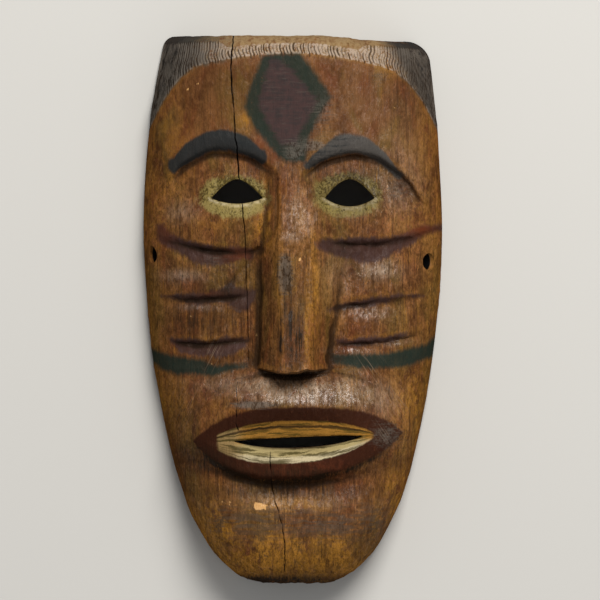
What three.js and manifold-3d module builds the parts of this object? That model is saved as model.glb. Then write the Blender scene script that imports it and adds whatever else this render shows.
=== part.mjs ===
// A carved wooden face mask, lying face up on its rim, as it would on a table.
// Millimetres. +X is the right-hand side as you face it, +Y runs up the forehead, +Z out of the face.
// The origin is on the plane that the rim lies on, under the middle of the mask.
// One block of wood: half a log, hollowed behind, with the face cut into its round front.
import * as THREE from "three";
import { ParametricGeometry } from "three/addons/geometries/ParametricGeometry.js";
import { mergeVertices } from "three/addons/utils/BufferGeometryUtils.js";
import Module from "manifold-3d";

// Driving dimensions of the block
const halfLength = 150.5;
const widestHalf = 82.5;
const widestAt = 45;
const logDepth = 57;
const rimWidth = 12;
const endWall = 13;
const frontWall = 15;

// How the outline narrows, to a square top with one tight and one rounder corner, and to a blunt chin
const topHalf = { left: 70.5, right: 74.5 };
const topTaper = { left: 2, right: 1.5 };
const cornerRadius = { left: 5, right: 12 };
const topEdgeDrop = 2.7;
const chinHalf = 20;
const jawTaper = 1.68;

// How the half log is rounded across, how it bows along, and how sharply it ends at each end
const roundness = { face: 2.5, chin: 4.1, forehead: 3.3 };
const bow = { along: 0.05, chin: 0.1 };
const ends = { forehead: { sharpness: 40, root: 0.25 }, chin: { sharpness: 13, root: 0.36 } };

// The hair band is bevelled back above a line that falls away at the temples
const hairline = { middle: 140, fall: 7.5, over: 57, temple: 50, templeBend: 0.03, slope: 0.9, drop: 12 };

// Under each brow the face steps back, and comes forward again over the eye
const brows = [
  { side: -1, x: -38, y: 88, bend: 0.0145, inner: 10, outer: 72, depth: 5.5, soft: 5 },
  { side: 1, x: 32, y: 87, bend: 0.0165, inner: 6, outer: 77, depth: 6.5, soft: 4 },
];
const browRidge = { height: 1.3, above: 4, wide: 6 };
const browFade = 24;
const eyes = [
  { x: -30.5, y: 60.5, half: 14, up: 10.5, down: 3, pointed: 1.65 },
  { x: 31, y: 60.5, half: 13.5, up: 10.5, down: 4.5, pointed: 1.8 },
];
const eyeMound = { height: 5, apart: 1.15, wide: 27, high: 17, lower: 11 };

// The nose is a straight wedge with a flat face, square below, and a shallow channel down each side
const nose = {
  x: 1.8, top: 86, bridgeAt: 34, tip: -33, bridgeHeight: 14, tipHeight: 24,
  faceHalf: 8.3, topHalf: 13, baseHalf: 20, spread: 0.8, round: 0.85, foot: 1.6,
};
const channel = { depth: 3.4, out: 4, wide: 6, fadeFrom: 48, fadeTo: 72 };

// Each cheek has three cuts, steep along their upper edge and sloping out again below
const cheekCuts = {
  left: [
    { from: -76, to: -12, x: -30, y: 31.5, bend: 0.0045, slope: 0, depth: 3.6, wide: 9 },
    { from: -74, to: -24, x: -50, y: 6.5, bend: 0.002, slope: 0, depth: 3.2, wide: 8 },
    { from: -69, to: -23, x: -46, y: -18, bend: 0.003, slope: 0, depth: 3.2, wide: 7.5 },
  ],
  right: [
    { from: 12, to: 82, x: 30, y: 37.5, bend: 0.0032, slope: 0, depth: 3.8, wide: 14 },
    { from: 19, to: 73, x: 46, y: 4.5, bend: 0.001, slope: 0.13, depth: 3.4, wide: 9.5 },
    { from: 22, to: 73, x: 46, y: -16.5, bend: 0.002, slope: 0.09, depth: 3.2, wide: 6.5 },
  ],
};
const cutWall = 2.2;
const cutLip = { height: 0.6, above: 2.5, wide: 3 };
const cutTaper = 0.7;

// The mouth's curves lie one inside another, and the muzzle rises towards them from the cheeks
const mouth = { x: 3, y: -70.5, tilt: 0.04, tiltedHalf: 60 };
const muzzle = { half: 68, up: 38, height: 2 };
const outerLip = { half: 57.5, up: 17.5, down: 23.5, height: 9.5 };
const innerLip = { half: 44, up: 10, down: 13.5, depth: 6.5 };
const slit = { half: 35, up: 1, down: 5, depth: 2 };
const corner = { height: 7.5, fadeFrom: 54, fadeTo: 76 };
const crease = { y: -97, bend: 0.0035, height: 4 };
const chin = { top: 8.5, topBelow: 8, front: 9.5, frontBelow: 26, end: 7, fadeFrom: 36, fadeTo: 74 };

// The carving fades out on the walls, where the log is lower than this
const carvedFrom = 1;
const carvedAbove = 15;

// The hollow is deeper behind the nose and the mouth, and opens through the eyes, the mouth and two tie holes
const noseHollow = { height: 13, wide: 15, y: -8, high: 34 };
const mouthHollow = { height: 8, wide: 42, y: -70.5, high: 24 };
const tieHoles = [
  { side: -1, y: 30, z: 22 },
  { side: 1, y: 26, z: 26 },
];
const tieHole = { radius: 4.75, from: 48, to: 102, sides: 16 };

// Small curves that everything below is built from
const { clamp, lerp } = THREE.MathUtils;
const ease = (from, to, value) => {
  const t = clamp((value - from) / (to - from), 0, 1);
  return t * t * (3 - 2 * t);
};
const bell = (value, middle, width) => Math.exp(-(((value - middle) / width) ** 2));
// Height of a pointed or round arch over a base of two halves, at distance t from its middle
const archOver = (t, power, root) => Math.max(0, 1 - Math.abs(t) ** power) ** root;
const sideOf = (x) => (x < 0 ? "left" : "right");

// Half the mask's width at height y, left or right of the middle
function halfWidth(y, x) {
  const side = sideOf(x);
  if (y > widestAt) {
    const up = (y - widestAt) / (halfLength - widestAt);
    const radius = cornerRadius[side];
    const past = Math.max(0, y - (halfLength - radius));
    const rounding = radius - Math.sqrt(Math.max(0, radius ** 2 - past ** 2));
    return widestHalf - (widestHalf - topHalf[side]) * up ** topTaper[side] - rounding;
  }
  const end = (1 - (chinHalf / widestHalf) ** 3) ** (1 / jawTaper);
  return widestHalf * archOver((end * (widestAt - y)) / (widestAt + halfLength), jawTaper, 1 / 3);
}

// The top edge runs down a little towards the right-hand corner
const topDrop = (x, y) => topEdgeDrop * ease(10, 60, x) * ease(105, halfLength, y);

// The uncarved half log: a round arch across, flatter at the chin and forehead, closed by its two ends
function logHeight(across, along) {
  const bowed = 1 - bow.along * along ** 2 - bow.chin * ease(-0.35, -1, along);
  const atChin = (roundness.chin - roundness.face) * ease(-0.3, -0.8, along);
  const atForehead = (roundness.forehead - roundness.face) * ease(0.4, 0.95, along);
  const end = along > 0 ? ends.forehead : ends.chin;
  const section = archOver(across, roundness.face + atChin + atForehead, 0.5);
  return logDepth * bowed * section * archOver(along, end.sharpness, end.root);
}

function hairlineAt(x) {
  const away = Math.abs(x);
  const fall = hairline.fall * (away / hairline.over) ** 2;
  return hairline.middle - fall - hairline.templeBend * Math.max(0, away - hairline.temple) ** 2;
}
function hairBevel(x, y) {
  const past = Math.max(0, y - hairlineAt(x));
  return -hairline.drop * (1 - Math.exp((-hairline.slope * past) / hairline.drop));
}

const browEdge = (b, x) => b.y - b.bend * (x - b.x) ** 2;
function browStep(x, y) {
  let height = 0;
  for (const b of brows) {
    const below = browEdge(b, x) - y;
    const away = x * b.side;
    const reach = ease(b.inner - 6, b.inner + 8, away) * (1 - ease(b.outer - 14, b.outer + 2, away));
    const ridge = browRidge.height * bell(below, -browRidge.above, browRidge.wide);
    const step = b.depth * ease(-0.5, b.soft, below) * bell(Math.max(0, below), 0, browFade);
    height += reach * (ridge - step);
  }
  return height;
}

function eyeMounds(x, y) {
  let height = 0;
  for (const e of eyes) {
    const across = bell(x, e.x * eyeMound.apart, eyeMound.wide);
    height += eyeMound.height * across * bell(y, e.y - eyeMound.lower, eyeMound.high);
  }
  return height;
}

function noseWedge(x, y) {
  const down = clamp((nose.top - y) / (nose.top - nose.tip), 0, 1);
  const toTip = clamp((nose.bridgeAt - y) / (nose.bridgeAt - nose.tip), 0, 1);
  const bridge = nose.bridgeHeight * ease(nose.top, nose.bridgeAt, y);
  const ridge = bridge + (nose.tipHeight - nose.bridgeHeight) * toTip;
  const half = nose.topHalf + (nose.baseHalf - nose.topHalf) * down ** nose.spread;
  const away = Math.abs(x - nose.x);
  const flank = 1 - clamp((away - nose.faceHalf) / (half - nose.faceHalf), 0, 1);
  const square = ease(nose.tip - nose.foot, nose.tip, y);
  const channelEnds = ease(nose.tip - 4, nose.tip + 6, y) * (1 - ease(channel.fadeFrom, channel.fadeTo, y));
  const sunk = channel.depth * bell(away, half + channel.out, channel.wide) * channelEnds;
  return ridge * flank ** nose.round * square - sunk;
}

const cutEdge = (c, x) => c.y + c.bend * (x - c.x) ** 2 + c.slope * (x - c.x);
function cheekCutsAt(x, y) {
  let height = 0;
  for (const c of cheekCuts[sideOf(x)]) {
    const reach = Math.sin(Math.PI * clamp((x - c.from) / (c.to - c.from), 0, 1)) ** cutTaper;
    const below = cutEdge(c, x) - y;
    const facet = 1 - clamp((below - cutWall) / (c.wide * reach + 0.5), 0, 1);
    const lip = cutLip.height * bell(below, -cutLip.above, cutLip.wide);
    height += reach * (lip - c.depth * ease(-0.5, cutWall, below) * facet);
  }
  return height;
}

// Each of the mouth's curves gives the height on the plan at x
const mouthMiddle = (x) => mouth.y + mouth.tilt * clamp(x - mouth.x, -mouth.tiltedHalf, mouth.tiltedHalf);
const curveAbove = (edge, x) => mouthMiddle(x) + edge.up * archOver((x - mouth.x) / edge.half, 2.5, 0.78);
const curveBelow = (edge, x) => mouthMiddle(x) - edge.down * archOver((x - mouth.x) / edge.half, 2.2, 0.85);
const creaseAt = (x) => Math.min(curveBelow(outerLip, x) - 1.5, crease.y + crease.bend * (x - mouth.x) ** 2);

// From the nose down to the chin the face is lofted through a ladder of curves, each with its own height
function lowerFace(x, y) {
  const wide = Math.abs(x - mouth.x);
  const openAt = (edge) => archOver(wide / edge.half, 2, 1.1);
  const fade = 1 - ease(chin.fadeFrom, chin.fadeTo, wide);
  const atCorner = corner.height * (1 - ease(corner.fadeFrom, corner.fadeTo, wide));
  const rim = atCorner + outerLip.height * openAt(outerLip);
  const inner = innerLip.depth * openAt(innerLip);
  const gap = slit.depth * openAt(slit);
  const top = curveAbove(muzzle, x);
  const lip = curveAbove(outerLip, x);
  const ladder = [
    [top, muzzle.height * fade],
    [lerp(top, lip, 0.45), 0.6 * rim],
    [lip, rim],
    [curveAbove(innerLip, x) + 1, rim - 0.7 * inner],
    [curveAbove(innerLip, x) - 1.5, rim - inner],
    [curveAbove(slit, x), rim - inner - gap],
    [curveBelow(slit, x), rim - inner - 1.25 * gap],
    [curveBelow(innerLip, x), rim - 0.4 * inner],
    [curveBelow(outerLip, x) + 4, rim - 2.5 * openAt(outerLip)],
    [creaseAt(x), crease.height * fade],
    [creaseAt(x) - chin.topBelow, chin.top * fade],
    [creaseAt(x) - chin.frontBelow, chin.front * fade],
    [-halfLength, chin.end],
  ];
  let height = ladder[0][1] * ease(top + 6, top, y);
  for (let i = 1; i < ladder.length; i++) {
    const [above, heightAbove] = ladder[i - 1];
    const [below, heightBelow] = ladder[i];
    height += (heightBelow - heightAbove) * clamp((above - y) / Math.max(0.3, above - below), 0, 1);
  }
  return height;
}

function carving(x, y, log) {
  const upper = hairBevel(x, y) + browStep(x, y) + eyeMounds(x, y) + noseWedge(x, y);
  return (upper + cheekCutsAt(x, y) + lowerFace(x, y)) * ease(carvedFrom, carvedAbove, log);
}

// Between and beyond the two brows, and between the cuts of the two cheeks, the facets run smoothly over
const browAt = (x) => {
  const reach = (b) => browEdge(b, clamp(x, b.x - 32, b.x + 32));
  return lerp(reach(brows[0]), reach(brows[1]), ease(brows[0].x * 0.4, brows[1].x * 0.4, x));
};
const cutAt = (index, x) => lerp(
  cutEdge(cheekCuts.left[index], Math.min(x, -12)),
  cutEdge(cheekCuts.right[index], Math.max(x, 12)),
  ease(-14, 14, x),
);
const eyeLine = (x) => eyes[0].y - 0.0012 * x * x;

// The facets follow the carving: their rows run along these curves, from the top edge down to the chin
const rows = [
  { at: () => halfLength, steps: 0 },
  { at: () => halfLength - 3.5, steps: 3 },
  { at: (x) => Math.max(halfLength - hairline.drop, hairlineAt(x)), steps: 3 },
  { at: (x) => hairlineAt(x), steps: 2 },
  { at: (x) => browAt(x) + 8, steps: 4 },
  { at: (x) => browAt(x), steps: 2 },
  { at: (x) => browAt(x) - 4.5, steps: 2 },
  { at: (x) => eyeLine(x), steps: 4 },
  { at: (x) => cutAt(0, x), steps: 4 },
  { at: (x) => cutAt(0, x) - cutWall, steps: 1 },
  { at: (x) => cutAt(0, x) - 11, steps: 3 },
  { at: (x) => cutAt(1, x), steps: 3 },
  { at: (x) => cutAt(1, x) - cutWall, steps: 1 },
  { at: (x) => cutAt(1, x) - 10, steps: 2 },
  { at: (x) => cutAt(2, x), steps: 2 },
  { at: (x) => cutAt(2, x) - cutWall, steps: 1 },
  { at: () => nose.tip, steps: 3 },
  { at: () => nose.tip - nose.foot, steps: 1 },
  { at: (x) => curveAbove(muzzle, x) - 2, steps: 2 },
  { at: (x) => curveAbove(outerLip, x), steps: 3 },
  { at: (x) => curveAbove(innerLip, x), steps: 2 },
  { at: (x) => curveAbove(slit, x) + 0.8, steps: 2 },
  { at: (x) => curveBelow(slit, x) - 0.8, steps: 1 },
  { at: (x) => curveBelow(innerLip, x), steps: 2 },
  { at: (x) => curveBelow(outerLip, x) + 4, steps: 1 },
  { at: (x) => creaseAt(x), steps: 2 },
  { at: (x) => creaseAt(x) - chin.topBelow, steps: 2 },
  { at: (x) => creaseAt(x) - chin.frontBelow, steps: 3 },
  { at: () => 3.5 - halfLength, steps: 4 },
  { at: () => -halfLength, steps: 4 },
];
const rowRoom = 0.5;
const endSpacing = 2.2;
const stepAt = rows.flatMap((row, k) =>
  Array.from({ length: row.steps }, (unused, i) => ({ row: k, share: (i + 1) / row.steps })));
stepAt.unshift({ row: 1, share: 0 });

// The height on the plan of one row of facets at x, kept clear of the row above it
function rowHeight(step, x) {
  const last = rows.length - 1;
  const levels = [rows[0].at(x)];
  for (let k = 1; k <= step.row; k++) {
    const highest = levels[k - 1] - rowRoom * rows[k].steps;
    const lowest = 3 * (last - k) - halfLength;
    const wanted = Math.max(Math.min(rows[k].at(x), highest), lowest);
    levels.push(k === last ? -halfLength : wanted);
  }
  const share = step.row === 1 ? step.share ** endSpacing
    : 1 - (1 - step.share) ** (step.row === last ? endSpacing : 1);
  return lerp(levels[step.row - 1], levels[step.row], share);
}

// Steps from one value to another that lie evenly along a curved profile
function evenSteps(from, to, count, profile) {
  const samples = 400;
  const sampleAt = (i) => lerp(from, to, 0.5 - 0.5 * Math.cos((Math.PI * i) / samples));
  const lengths = [0];
  for (let i = 1; i <= samples; i++) {
    const [a0, h0] = profile(sampleAt(i - 1));
    const [a1, h1] = profile(sampleAt(i));
    lengths.push(lengths[i - 1] + Math.hypot(a1 - a0, h1 - h0));
  }
  const steps = [];
  for (let k = 1, i = 0; k < count; k++) {
    const wanted = (lengths[samples] * k) / count;
    while (lengths[i + 1] < wanted) i++;
    const share = (wanted - lengths[i]) / (lengths[i + 1] - lengths[i]);
    steps.push(lerp(sampleAt(i), sampleAt(i + 1), share));
  }
  return [...steps, to];
}

// Columns of facets, with one along each edge of the nose
const sideColumns = 18;
const noseColumns = 4;
const logSection = (q) => [q * widestHalf, logHeight(q, 0)];
const noseEdge = (away) => (nose.x + away) / widestHalf;
const columns = [
  -1,
  ...evenSteps(-1, noseEdge(-nose.baseHalf), sideColumns, logSection),
  ...evenSteps(noseEdge(-nose.baseHalf), noseEdge(-nose.faceHalf), noseColumns, logSection),
  ...evenSteps(noseEdge(-nose.faceHalf), noseEdge(nose.faceHalf), noseColumns, logSection),
  ...evenSteps(noseEdge(nose.faceHalf), noseEdge(nose.baseHalf), noseColumns, logSection),
  ...evenSteps(noseEdge(nose.baseHalf), 1, sideColumns, logSection),
];

// The front of the mask: the log with the face carved in it
function front(u, v, target) {
  const q = columns[Math.round(u * (columns.length - 1))];
  const step = stepAt[stepAt.length - 1 - Math.round(v * (stepAt.length - 1))];
  let x = q * widestHalf;
  let y = 0;
  for (let pass = 0; pass < 4; pass++) {
    y = rowHeight(step, x);
    x = q * halfWidth(y, q);
  }
  const log = logHeight(q, y / halfLength);
  target.set(x, y - topDrop(x, y), log + carving(x, y, log));
}

// A dome laid over a grid whose four sides lie on the base, closed underneath by a fan of triangles
function closedDome(pointAt, across, along) {
  const sheet = mergeVertices(stripped(new ParametricGeometry(pointAt, across, along)), 1e-4);
  const positions = [...sheet.attributes.position.array];
  const triangles = [...sheet.index.array];
  const edges = new Set();
  for (let i = 0; i < triangles.length; i += 3) {
    for (let k = 0; k < 3; k++) {
      edges.add(`${triangles[i + k]},${triangles[i + ((k + 1) % 3)]}`);
    }
  }
  const middle = positions.length / 3;
  positions.push(0, 0, positions[2]);
  for (const edge of edges) {
    const [a, b] = edge.split(",").map(Number);
    if (!edges.has(`${b},${a}`)) triangles.push(b, a, middle);
  }
  const closed = new THREE.BufferGeometry();
  closed.setAttribute("position", new THREE.Float32BufferAttribute(positions, 3));
  closed.setIndex(triangles);
  return closed;
}

function stripped(geometry) {
  const bare = geometry.clone();
  bare.deleteAttribute("normal");
  bare.deleteAttribute("uv");
  return bare;
}

// The hollow behind the face, open at the rim
const hollowGrid = { across: 20, along: 24, belowRim: -4 };
const hollowLength = halfLength - endWall;
function hollow(u, v, target) {
  const q = Math.sin((u - 0.5) * Math.PI);
  const t = Math.sin((v - 0.5) * Math.PI);
  const y = t * hollowLength;
  const x = q * (halfWidth(y * 1.04, q) - rimWidth);
  const deep = (logDepth - frontWall) * archOver(q, 2.5, 0.5) * archOver(t, 6, 0.42);
  const pit = (h, middle) => h.height * bell(x, middle, h.wide) * bell(y, h.y, h.high);
  const pits = pit(noseHollow, nose.x) + pit(mouthHollow, mouth.x);
  const onRim = Math.min(u, v, 1 - u, 1 - v) < 1e-6;
  const height = Math.max(1, deep) + pits * ease(10, 30, deep);
  target.set(x, y, onRim ? hollowGrid.belowRim : height);
}

// A pierced slit: two lids between its corners, cut straight through the front
function slitCutter(lidBelow, lidAbove, middle, half) {
  const steps = 12;
  const outline = [];
  for (let i = -steps; i < steps; i++) {
    const x = middle + (half * i) / steps;
    outline.push(new THREE.Vector2(x, lidBelow(x)));
  }
  for (let i = steps; i > -steps; i--) {
    const x = middle + (half * i) / steps;
    outline.push(new THREE.Vector2(x, lidAbove(x)));
  }
  const cutter = new THREE.ExtrudeGeometry(new THREE.Shape(outline), { depth: 110, bevelEnabled: false });
  return cutter.translate(0, 0, 5);
}
const eyeCutter = (e) => slitCutter(
  (x) => e.y - e.down * archOver((x - e.x) / e.half, 2, 1),
  (x) => e.y + e.up * archOver((x - e.x) / e.half, e.pointed, 1),
  e.x,
  e.half,
);
const mouthCutter = () => slitCutter(
  (x) => curveBelow(slit, x),
  (x) => curveAbove(slit, x),
  mouth.x,
  slit.half,
);

// A hole for a tie, bored straight through the side wall
function tieHoleCutter(hole) {
  const length = tieHole.to - tieHole.from;
  const bore = new THREE.CylinderGeometry(tieHole.radius, tieHole.radius, length, tieHole.sides);
  return bore.rotateZ(Math.PI / 2).translate(hole.side * (tieHole.from + length / 2), hole.y, hole.z);
}

const wasm = await Module();
wasm.setup();

function toSolid(geometry) {
  const merged = mergeVertices(stripped(geometry), 1e-4);
  return new wasm.Manifold(new wasm.Mesh({
    numProp: 3,
    vertProperties: merged.attributes.position.array,
    triVerts: new Uint32Array(merged.index.array),
  }));
}

function toGeometry(solid) {
  const mesh = solid.getMesh();
  const geometry = new THREE.BufferGeometry();
  geometry.setAttribute("position", new THREE.BufferAttribute(new Float32Array(mesh.vertProperties), 3));
  geometry.setIndex(new THREE.BufferAttribute(new Uint32Array(mesh.triVerts), 1));
  geometry.computeVertexNormals();
  return geometry;
}

let carved = toSolid(closedDome(front, columns.length - 1, stepAt.length - 1));
const cutters = [
  closedDome(hollow, hollowGrid.across, hollowGrid.along),
  ...eyes.map(eyeCutter),
  mouthCutter(),
  ...tieHoles.map(tieHoleCutter),
];
for (const cutter of cutters) {
  carved = carved.subtract(toSolid(cutter));
}

const wood = new THREE.MeshStandardMaterial({ color: 0x8a5a2c, roughness: 0.62, metalness: 0 });
const mask = new THREE.Mesh(toGeometry(carved), wood);
mask.name = "mask";

const part = new THREE.Group();
part.add(mask);

export default part;
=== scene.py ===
# A carved and painted wooden face mask, lying face up on its rim. Built in millimetres, set down in metres.
import math

import bpy
import numpy as np
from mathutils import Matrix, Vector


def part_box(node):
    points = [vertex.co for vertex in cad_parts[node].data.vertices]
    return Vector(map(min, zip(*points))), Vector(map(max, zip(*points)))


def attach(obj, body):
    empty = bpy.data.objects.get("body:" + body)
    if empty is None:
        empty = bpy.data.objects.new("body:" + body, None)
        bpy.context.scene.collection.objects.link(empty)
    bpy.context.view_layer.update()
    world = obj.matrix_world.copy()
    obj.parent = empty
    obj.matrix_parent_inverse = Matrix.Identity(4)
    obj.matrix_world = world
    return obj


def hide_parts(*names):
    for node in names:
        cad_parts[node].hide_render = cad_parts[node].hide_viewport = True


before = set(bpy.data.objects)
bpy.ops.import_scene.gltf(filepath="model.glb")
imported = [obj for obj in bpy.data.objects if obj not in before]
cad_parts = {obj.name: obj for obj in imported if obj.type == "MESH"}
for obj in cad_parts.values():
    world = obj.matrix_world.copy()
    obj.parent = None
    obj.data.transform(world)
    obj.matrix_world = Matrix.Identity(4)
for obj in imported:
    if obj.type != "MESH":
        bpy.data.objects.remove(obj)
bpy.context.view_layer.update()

mm = 0.001
maskLow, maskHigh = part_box("mask")
halfLength = maskHigh.y / mm
widestHalf = maskHigh.x / mm
farOff = 9.0  # farther than any distance that shows
edgeStart = -0.5  # a carved edge begins half a millimetre outside its line
noiseLattice = dict(size=97, shift=(40.3, 40.7))  # cells a side, and where the origin lies in them
gougeLattice = dict(size=61, shift=40.5, jitter=0.36)


# Small curves that the whole mask is built from. Each takes arrays and gives arrays.
def ease(start, end, value):
    # 0 up to start, 1 from end on, and a smooth S between them
    t = np.clip((value - start) / (end - start), 0, 1)
    return t * t * (3 - 2 * t)


def within(value, start, full, fading, end):
    # 0 outside start and end, 1 from full to fading, and eased on both sides
    return ease(start, full, value) * (1 - ease(fading, end, value))


def bell(value, middle, width):
    # 1 in the middle, falling off both ways as exp of minus the square
    return np.exp(-(((value - middle) / width) ** 2))


def archOver(t, power, root):
    # An arch over -1 to 1: one minus t to a power, and a root of that
    return np.maximum(0, 1 - np.abs(t) ** power) ** root


def mixed(a, b, share):
    return a + (b - a) * share


def softNoise(x, y, wide, high, seed):
    # Random values on a lattice of wide by high millimetres, eased between its corners, from -1 to 1
    size, (shiftX, shiftY) = noiseLattice["size"], noiseLattice["shift"]
    lattice = np.random.default_rng(seed).uniform(-1, 1, (size, size))
    u, v = x / wide + shiftX, y / high + shiftY
    i, j = np.floor(u).astype(int), np.floor(v).astype(int)
    a, b = ease(0, 1, u - i), ease(0, 1, v - j)
    corner = lambda di, dj: lattice[(i + di) % size, (j + dj) % size]
    return mixed(mixed(corner(0, 0), corner(1, 0), a), mixed(corner(0, 1), corner(1, 1), a), b)


def gougeMarks(x, y, wide, high, seed):
    # Shallow bowls side by side: the squared distance to the nearest of the jittered middles of a lattice
    size, shift, reach = gougeLattice["size"], gougeLattice["shift"], gougeLattice["jitter"]
    jitter = np.random.default_rng(seed).uniform(-reach, reach, (2, size, size))
    u, v = x / wide + shift, y / high + shift
    nearest = np.full(np.shape(u), farOff)
    for di in (-1, 0, 1):
        for dj in (-1, 0, 1):
            i, j = np.floor(u).astype(int) + di, np.floor(v).astype(int) + dj
            du = u - i - 0.5 - jitter[0][i % size, j % size]
            dv = v - j - 0.5 - jitter[1][i % size, j % size]
            nearest = np.minimum(nearest, du * du + dv * dv)
    return nearest


# The block: half a log with a square top, one tight and one rounder corner, and a blunt chin
block = dict(
    depth=57, widestAt=45, rimWidth=12, endWall=13, frontWall=15, rimRound=1.4,
    topLeft=dict(half=70.5, taper=2, corner=5), topRight=dict(half=74.5, taper=1.5, corner=12),
    topDrop=2.7, dropAcross=(10, 60), dropFrom=105, chinHalf=20, jawTaper=1.68, jawRound=3,
    faceRound=2.5, chinRound=4.1, foreheadRound=3.3, chinPart=(-0.3, -0.8), foreheadPart=(0.4, 0.95),
    bowAlong=0.05, bowChin=0.1, bowChinPart=(-0.35, -1), foreheadEnd=(40, 0.25), chinEnd=(13, 0.36),
)


def halfWidth(y, side):
    # Above the widest place each side narrows by a power, to a rounded corner; below, the jaw is an arch
    def upper(top):
        up = np.clip((y - block["widestAt"]) / (halfLength - block["widestAt"]), 0, 1)
        radius = top["corner"]
        past = np.clip(y - (halfLength - radius), 0, radius)
        cornerCut = radius - np.sqrt(np.maximum(0, radius**2 - past**2))
        return widestHalf - (widestHalf - top["half"]) * up ** top["taper"] - cornerCut
    end = (1 - (block["chinHalf"] / widestHalf) ** block["jawRound"]) ** (1 / block["jawTaper"])
    down = np.clip(end * (block["widestAt"] - y) / (block["widestAt"] + halfLength), 0, 1)
    jaw = widestHalf * archOver(down, block["jawTaper"], 1 / block["jawRound"])
    above = np.where(side < 0, upper(block["topLeft"]), upper(block["topRight"]))
    return np.where(y > block["widestAt"], above, jaw)


def topDrop(x, y):
    # The top edge runs down a little towards the right-hand corner
    return block["topDrop"] * ease(*block["dropAcross"], x) * ease(block["dropFrom"], halfLength, y)


def logHeight(across, along):
    # A bowed length times a round section times an end that falls off steeply
    bowed = 1 - block["bowAlong"] * along**2 - block["bowChin"] * ease(*block["bowChinPart"], along)
    power = block["faceRound"] + (block["chinRound"] - block["faceRound"]) * ease(*block["chinPart"], along)
    power = power + (block["foreheadRound"] - block["faceRound"]) * ease(*block["foreheadPart"], along)
    end = np.where(along > 0, archOver(along, *block["foreheadEnd"]), archOver(along, *block["chinEnd"]))
    return block["depth"] * bowed * archOver(across, power, 0.5) * end


# The carving of the upper face
hairline = dict(middle=140, fall=7.5, over=57, temple=50, templeBend=0.03, slope=0.9, drop=12)
brows = [
    dict(side=-1, x=-38, y=88, bend=0.0145, inner=10, outer=72, depth=5.5, soft=5),
    dict(side=1, x=32, y=87, bend=0.0165, inner=6, outer=77, depth=6.5, soft=4),
]
browRidge = dict(height=1.3, above=4, wide=6, fade=24, innerFade=(-7, 13), outerFade=(-14, 2))
eyes = [
    dict(x=-30.5, y=60.5, half=14, up=10.5, down=3, pointed=1.65),
    dict(x=31, y=60.5, half=13.5, up=10.5, down=4.5, pointed=1.8),
]
eyeMound = dict(height=5, apart=1.15, wide=27, high=17, lower=11, lidRound=1.3)
nose = dict(
    x=1.8, top=86, bridgeAt=34, tip=-33, bridgeHeight=14, tipHeight=24,
    faceHalf=8.3, topHalf=13, baseHalf=20, spread=0.8, round=0.85, foot=1.2, evenAtTop=0.3,
    bow=2, notch=0.9, notchAt=7, notchWide=3, leftFlank=(1.1, 1.1), rightFlank=(1.5, 0.88),
)
channel = dict(depth=3.4, out=4, wide=6, foot=(-4, 6), fade=(18, 46))  # along both sides of the nose


def hairlineAt(x):
    # A shallow parabola that falls away faster at the temples
    away = np.abs(x)
    fall = hairline["fall"] * (away / hairline["over"]) ** 2
    return hairline["middle"] - fall - hairline["templeBend"] * np.maximum(0, away - hairline["temple"]) ** 2


def hairBevel(x, y):
    # Above the hairline the wood falls back, steeply at first and then level
    past = np.maximum(0, y - hairlineAt(x))
    return -hairline["drop"] * (1 - np.exp(-hairline["slope"] * past / hairline["drop"]))


def browEdge(b, x):
    return b["y"] - b["bend"] * (x - b["x"]) ** 2


def browStep(x, y):
    # Under each brow's parabola the face steps back and slowly comes forward again
    height = 0
    for b in brows:
        below = browEdge(b, x) - y
        away = x * b["side"]
        inner = [b["inner"] + end for end in browRidge["innerFade"]]
        outer = [b["outer"] + end for end in browRidge["outerFade"]]
        fading = bell(np.maximum(0, below), 0, browRidge["fade"])
        step = b["depth"] * ease(edgeStart, b["soft"], below) * fading
        ridge = browRidge["height"] * bell(below, -browRidge["above"], browRidge["wide"])
        height = height + within(away, *inner, *outer) * (ridge - step)
    return height


def eyeMounds(x, y):
    height = 0
    for e in eyes:
        across = bell(x, e["x"] * eyeMound["apart"], eyeMound["wide"])
        height = height + eyeMound["height"] * across * bell(y, e["y"] - eyeMound["lower"], eyeMound["high"])
    return height


def eyeGap(e, x, y):
    # How far a point lies outside the slit, from the lids above and below and the corners
    t = np.clip((x - e["x"]) / e["half"], -1, 1)
    upper = y - (e["y"] + e["up"] * archOver(t, e["pointed"], 1))
    lower = (e["y"] - e["down"] * archOver(t, 2, 1)) - y
    return np.hypot(np.maximum(0, np.maximum(upper, lower)), np.maximum(0, np.abs(x - e["x"]) - e["half"]))


def noseTip(x):
    # The foot of the nose bows down a little in its middle, with a notch right of it
    bowed = nose["bow"] * (np.clip(np.abs(x - nose["x"]) / nose["baseHalf"], 0, 1) ** 2 - 0.5)
    return nose["tip"] + bowed + nose["notch"] * bell(x, nose["notchAt"], nose["notchWide"])


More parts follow.
